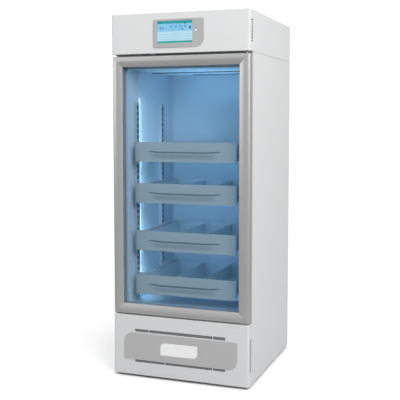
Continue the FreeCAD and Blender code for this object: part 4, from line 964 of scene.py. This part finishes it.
# The gasket's bellows folds inwards between its two lips; its soft plastic is a dull grey
gasket_half = 281.5
gasket_low, gasket_high = 286, 1332
gasket_profile = [(0, 39), (0, 41), (2, 42), (0.4, 43.4), (0.4, 44.6), (2, 45.4), (2, 47),
                  (11, 47), (11, 45.4), (12.6, 44.6), (12.6, 43.4), (11, 42), (13, 41), (13, 39)]
gasket_plastic = grained("soft_plastic_grey", "#8f9598", "#85898c", 0.8, (0.5, 0.6), 0.02)
shaped_piece("gasket_bellows", framed(gasket_profile, gasket_half, gasket_low, gasket_high), 0.3,
             "door", gasket_plastic, ("door_gasket",), 30)


# The hinges: plated steel plates screwed to the body, with a pin up or down into the door. The
# door switch is a small moulded housing in the gap above the door, with its plunger below.
soften("hinge_brackets", 0.4, plated)
plate_face = front_plane + 0.0435
screw_profile = [(0, 0), (3.6, 0), (3.6, -0.8), (2.4, -2.0), (1.2, -2.2), (1.0, -1.2), (0, -1.2)]
hinge_screws = [turned(screw_profile, (x, plate_face, z), "Y", 24)
                for z in (0.240, 1.382) for x in (0.272, 0.290)]
shaped_piece("hinge_screws", joined(*hinge_screws), 0.1, "cabinet", plated)
sensor_plastic = grained("moulded_plastic_pale", "#c9cccd", "#c0c3c4", 0.6, (0.4, 0.5), 0.02)
soften("door_sensor", 0.5, sensor_plastic)


# The header: a folded fascia with louvred returns and a cover over the sides, top and back, both
# powder coated like the cabinet.
soften("header_fascia", 0.6, powder)
soften("header_cover", 0.6, powder)


# The display unit: a moulded grey bezel, finely grained, over a seven-inch panel behind dark cover
# glass. A round white button sits beside the panel.
bezel_plastic = grained("moulded_plastic_grey", "#b2b4b3", "#a9abaa", 0.6, (0.42, 0.52), 0.03)
soften("display_bezel", 0.5, bezel_plastic)
screen_left, screen_right = -93.0, 60.0
screen_bottom, screen_top = 1398.0, 1486.0
dark_glass = grained("cover_glass_dark", "#14242a", "#101d22", 2.0, (0.08, 0.14), 0.0)
finish_node("display_screen", dark_glass)


def lit_panel(name, low, high, strength):
    """Part of a lit picture: two close colours that drift across it, with a fine dot pattern."""
    material, tree = new_material(name)
    shader = tree.nodes["Principled BSDF"]
    shader.inputs["Roughness"].default_value = 0.25
    shader.inputs["Emission Strength"].default_value = strength
    shader.inputs["Base Color"].default_value = linear("#101416")
    place = add_node(tree, "ShaderNodeTexCoord")
    drift = add_node(tree, "ShaderNodeTexNoise", {"Vector": place.outputs["Object"],
                                                  "Scale": 22.0, "Detail": 1.0})
    colour = add_node(tree, "ShaderNodeMix", {0: drift.outputs["Fac"], 6: linear(low),
                                              7: linear(high)}, data_type="RGBA")
    dots = add_node(tree, "ShaderNodeTexChecker", {"Vector": place.outputs["Object"],
                                                   "Color1": linear("#ffffff"),
                                                   "Color2": linear("#f4f4f4"),
                                                   "Scale": 3000.0})
    picture = add_node(tree, "ShaderNodeMix", {0: 1.0, 6: colour.outputs[2],
                                               7: dots.outputs["Color"]},
                       data_type="RGBA", blend_type="MULTIPLY")
    tree.links.new(picture.outputs[2], shader.inputs["Emission Color"])
    return material


screen_height = screen_top - screen_bottom
picture_face, picture_back = -0.05, 0.03
bands = (
    ("picture_bottom_bar", 0.0, 0.085, "#16a39c", "#1fb0aa"),
    ("picture_lower", 0.085, 0.525, "#b7e4f7", "#c6edfa"),
    ("picture_upper", 0.525, 0.87, "#82cdf2", "#93d7f6"),
    ("picture_top_bar", 0.87, 1.0, "#1b9c9c", "#33aeb4"),
)
for name, start, end, low, high in bands:
    span = ((screen_left, picture_face, screen_bottom + start * screen_height),
            (screen_right, picture_back, screen_bottom + end * screen_height))
    shaped_piece(name, boxes([span]), 0.01, "cabinet",
                 lit_panel(name, low, high, 0.92))

# Plain digits and small marks stand on the picture
ink = lit_panel("picture_ink", "#2b5f86", "#24557b", 0.9)


def text_mesh(name, words, left, level, size):
    """Flat letters that face the front; left, level and size are in millimetres."""
    curve = bpy.data.curves.new(name, "FONT")
    curve.body = words
    curve.size = size / 1000
    curve.extrude = 0.00002
    holder = bpy.data.objects.new(name, curve)
    scene.collection.objects.link(holder)
    mesh = applied(holder)
    mesh.transform(Matrix.Translation((left / 1000, front_plane - 0.00008, level / 1000))
                   @ Matrix.Rotation(math.pi / 2, 4, "X"))
    return mesh


for name, words, left, level, size in (
        ("digits_temperature", "4.0", -84, 1452.5, 15), ("digits_unit", "C", -60, 1452.5, 9),
        ("digits_clock", "08:30", -88, 1477, 7), ("digits_low", "2.0", -28, 1450, 6),
        ("digits_high", "6.0", -4, 1450, 6)):
    add_piece(name, text_mesh(name, words, left, level, size), "cabinet",
              ink)
mark_face, tile_face = -0.09, -0.08
marks = [((left, mark_face, low), (right, picture_face, high)) for left, right, low, high in
         ((26, 31, 1472, 1480), (46, 53, 1452, 1462), (48, 51, 1462, 1465), (12, 20, 1450, 1454))]
shaped_piece("picture_marks", boxes(marks), 0.01, "cabinet", ink)

# Four pale tiles and three hairlines lie in the picture's upper and lower halves
faint = lit_panel("picture_faint", "#6fb9e2", "#66b0db", 0.92)
tile_width, tile_pitch, first_tile = 12, 20, -38
line_width, line_pitch, first_line = 0.6, 10, 1412
tiles = []
for number in range(4):
    x = first_tile + tile_pitch * number
    tiles.append(((x, tile_face, 1458), (x + tile_width, picture_face, 1468)))
for number in range(3):
    level = first_line + line_pitch * number
    tiles.append(((-88, tile_face, level), (54, picture_face, level + line_width)))
shaped_piece("picture_tiles", boxes(tiles), 0.01, "cabinet", faint)

# The button has a domed cap with a shallow dish, in a plain ring moulded in the bezel
button_centre = (0.0745, front_plane, 1.445)
button_plastic = grained("moulded_plastic_white", "#f3f4f4", "#eceded", 0.6, (0.3, 0.4), 0.01)
cap_profile = [(0, -1.8), (1.5, -1.85), (3.0, -1.98), (4.1, -1.85), (4.5, -1.4), (4.5, 0.1),
               (6, 0.1), (6, 1), (2, 1), (2, 11), (0, 11)]
shaped_piece("button_cap", turned(cap_profile, button_centre, "Y"), 0.15, "push_button",
             button_plastic, ("mute_button",))


# The controller board: green laminate with a transformer, three relays and a screw terminal, on
# posts behind the display. Solder joints dot its face.
laminate = grained("circuit_laminate_green", "#1f5a3c", "#184c31", 3.0, (0.3, 0.4), 0.02)
finish_node("controller_board", laminate)

# Each kind of component: its name, number and pitch, the low and high corner of the first one, and
# the two tones of its moulded plastic, which is smooth and half matt
board_face = 15.7
components = (
    ("transformer", 1, 0, (-89, board_face, 1401.5), (-45, 37.5, 1440.5), "#2c2b29", "#24231f"),
    ("relays", 3, 24, (-34.5, board_face, 1401.5), (-15.6, 31.5, 1415.8), "#2a62b8", "#2457a8"),
    ("terminal", 12, 10, (-89.4, board_face, 1460.1), (-80.2, 29.5, 1471.9), "#3f8f4f", "#378547"),
)
for kind, count, pitch, low, high, light, dark in components:
    spans = [((low[0] + pitch * n, *low[1:]), (high[0] + pitch * n, *high[1:]))
             for n in range(count)]
    component_plastic = grained("component_plastic_" + kind, light, dark, 0.8, (0.35, 0.45), 0.02)
    shaped_piece("board_" + kind, boxes(spans), 0.6, "cabinet", component_plastic)

# Solder sets in small bright beads, laid in a grid
solder = grained("solder_tin", "#c5c7c8", "#b3b5b6", 0.4, (0.2, 0.3), 0.01, Metallic=1.0)
solder_tree, given = new_tree("solder_grid", {"Columns": "NodeSocketInt", "Rows": "NodeSocketInt",
                                              "Width": "NodeSocketFloat",
                                              "Height": "NodeSocketFloat",
                                              "Radius": "NodeSocketFloat",
                                              "Centre": "NodeSocketVector"})
grid = add_node(solder_tree, "GeometryNodeMeshGrid", {"Size X": given["Width"],
                                                      "Size Y": given["Height"],
                                                      "Vertices X": given["Columns"],
                                                      "Vertices Y": given["Rows"]})
bead = add_node(solder_tree, "GeometryNodeMeshIcoSphere", {"Radius": given["Radius"],
                                                           "Subdivisions": 2})
beads = add_node(solder_tree, "GeometryNodeInstanceOnPoints", {"Points": grid.outputs[0],
                                                               "Instance": bead.outputs[0]})
laid = add_node(solder_tree, "GeometryNodeTransform", {"Geometry": beads.outputs[0],
                                                       "Translation": given["Centre"],
                                                       "Rotation": (math.pi / 2, 0.0, 0.0)})
end_tree(solder_tree, laid.outputs[0], solder)
joints = {"Columns": 30, "Rows": 3, "Width": 0.16, "Height": 0.02, "Radius": 0.0008,
          "Centre": (-0.002, front_plane + board_face / 1000, 1.436)}
add_piece("board_solder", grown_mesh("board_solder", solder_tree, joints), "cabinet")


# The lower cover: a folded panel with two air slots and louvred returns, powder coated. On it lie a
# brushed stainless plate and a small white badge, left bare; grey filter foam fills the slots from
# behind, and its grey is partly painted shade, set to how dark the slots read.
soften("plinth_panel", 0.6, powder)

# Brushing draws the light out sideways; its hairlines are drawn coarser than they are, to show
hairline_width = 0.35
hairline_length = 80
brushed = grained("brushed_stainless_plate", "#cececd", "#c1c1c0", hairline_width, (0.34, 0.44),
                  0.006, (hairline_length, 1, 1), Metallic=0.3)
soften("plinth_plate", 0.3, brushed)

# Open foam is matt, with coarse dark pores, and its mid grey is partly painted shade for the
# slots; the badge's enamel is a smooth glossy white
filter_foam_shade = grained("filter_foam_grey", "#808284", "#66686a", 1.6, (0.85, 0.95), 0.4)
filter_half = 206
filter_setbacks = (1.6, 4.6)
filters = [((-filter_half, filter_setbacks[0], low), (filter_half, filter_setbacks[1], high))
           for low, high in ((190, 212), (60, 80))]
shaped_piece("slot_filters", boxes(filters), 0.3, "cabinet", filter_foam_shade)
badge_enamel = grained("badge_enamel_white", "#fbfbfb", "#f5f6f6", 2.0, (0.15, 0.22), 0.01)
soften("plinth_badge", 0.3, badge_enamel)


# The rear: a grille of punched galvanised sheet over the machine space, with the moulded mains
# inlet and its rocker switch, whose plastic is smoother and glossier.
soften("rear_grille", 0.3, back_sheet)
soften("mains_inlet", 0.3, moulded)
rocker_plastic = grained("rocker_plastic_black", "#191a1c", "#131416", 0.5, (0.25, 0.35), 0.01)
soften("power_switch", 0.3, rocker_plastic)


# The cover screws: pan heads with a cross recess, pressed from steel wire and zinc plated. They
# hold the back panel and the grille, and each stands as the driver left it.
head_height = 2.0
head_profile = [(0, 0), (4.0, 0), (4.0, 0.7), (3.4, 1.45), (2.2, 1.9), (0, head_height)]
recess_length = 3.2
recess_width = 0.7
recess_depth = 1.3
cutter_top = 3.0
head = rounded_mesh("screw_head", *turned(head_profile, (0, 0, 0), segments=32), 0.08)
head_object = bpy.data.objects.new("screw_head", head)
scene.collection.objects.link(head_object)
for degrees in (0, 90):
    low = Vector((-recess_length / 2, -recess_width / 2, head_height - recess_depth)) / 1000
    high = Vector((recess_length / 2, recess_width / 2, cutter_top)) / 1000
    cutter_points = [(x, y, z) for x in (low.x, high.x) for y in (low.y, high.y)
                     for z in (low.z, high.z)]
    cutter_mesh = bpy.data.meshes.new("recess")
    cutter_mesh.from_pydata(cutter_points, [], box_faces)
    cutter_mesh.transform(Matrix.Rotation(math.radians(degrees), 4, "Z"))
    cutter = bpy.data.objects.new("recess", cutter_mesh)
    scene.collection.objects.link(cutter)
    cut = head_object.modifiers.new("recess", "BOOLEAN")
    cut.object = cutter
    cut.operation = "DIFFERENCE"
    cut_mesh = applied(head_object)
    bpy.data.objects.remove(cutter)
    head_object = bpy.data.objects.new("screw_head", cut_mesh)
    scene.collection.objects.link(head_object)
screw_tree, given = new_tree("screws", {"Points": "NodeSocketGeometry",
                                        "Screw": "NodeSocketObject",
                                        "Turn": "NodeSocketVector",
                                        "Twist": "NodeSocketFloat",
                                        "Seed": "NodeSocketInt"})
screw = add_node(screw_tree, "GeometryNodeObjectInfo", {"Object": given["Screw"]})
twist = add_node(screw_tree, "FunctionNodeRandomValue", {2: 0.0, 3: given["Twist"],
                                                         "Seed": given["Seed"]})
spin = add_node(screw_tree, "ShaderNodeCombineXYZ", {"Y": twist.outputs[1]})
turned_heads = add_node(screw_tree, "ShaderNodeVectorMath", {0: given["Turn"],
                                                            1: spin.outputs[0]},
                        operation="ADD")
heads = add_node(screw_tree, "GeometryNodeInstanceOnPoints", {"Points": given["Points"],
                                                              "Instance": screw.outputs["Geometry"],
                                                              "Rotation": turned_heads.outputs[0]})
end_tree(screw_tree, heads.outputs[0], plated)
screw_x = 0.261
screw_setback = 0.653
screw_levels = (0.031, 0.227, 0.265, 0.801, 1.336)
screw_places = [(x, front_plane + screw_setback, z) for x in (-screw_x, screw_x)
                for z in screw_levels]
drive = {"Screw": head_object, "Turn": (-math.pi / 2, 0.0, 0.0), "Twist": 1.5, "Seed": 4}
screws = grown_mesh("rear_screws", screw_tree, drive, screw_places)
bpy.data.objects.remove(head_object)
add_piece("rear_screws", screws, "cabinet", None, ("cover_screws",))
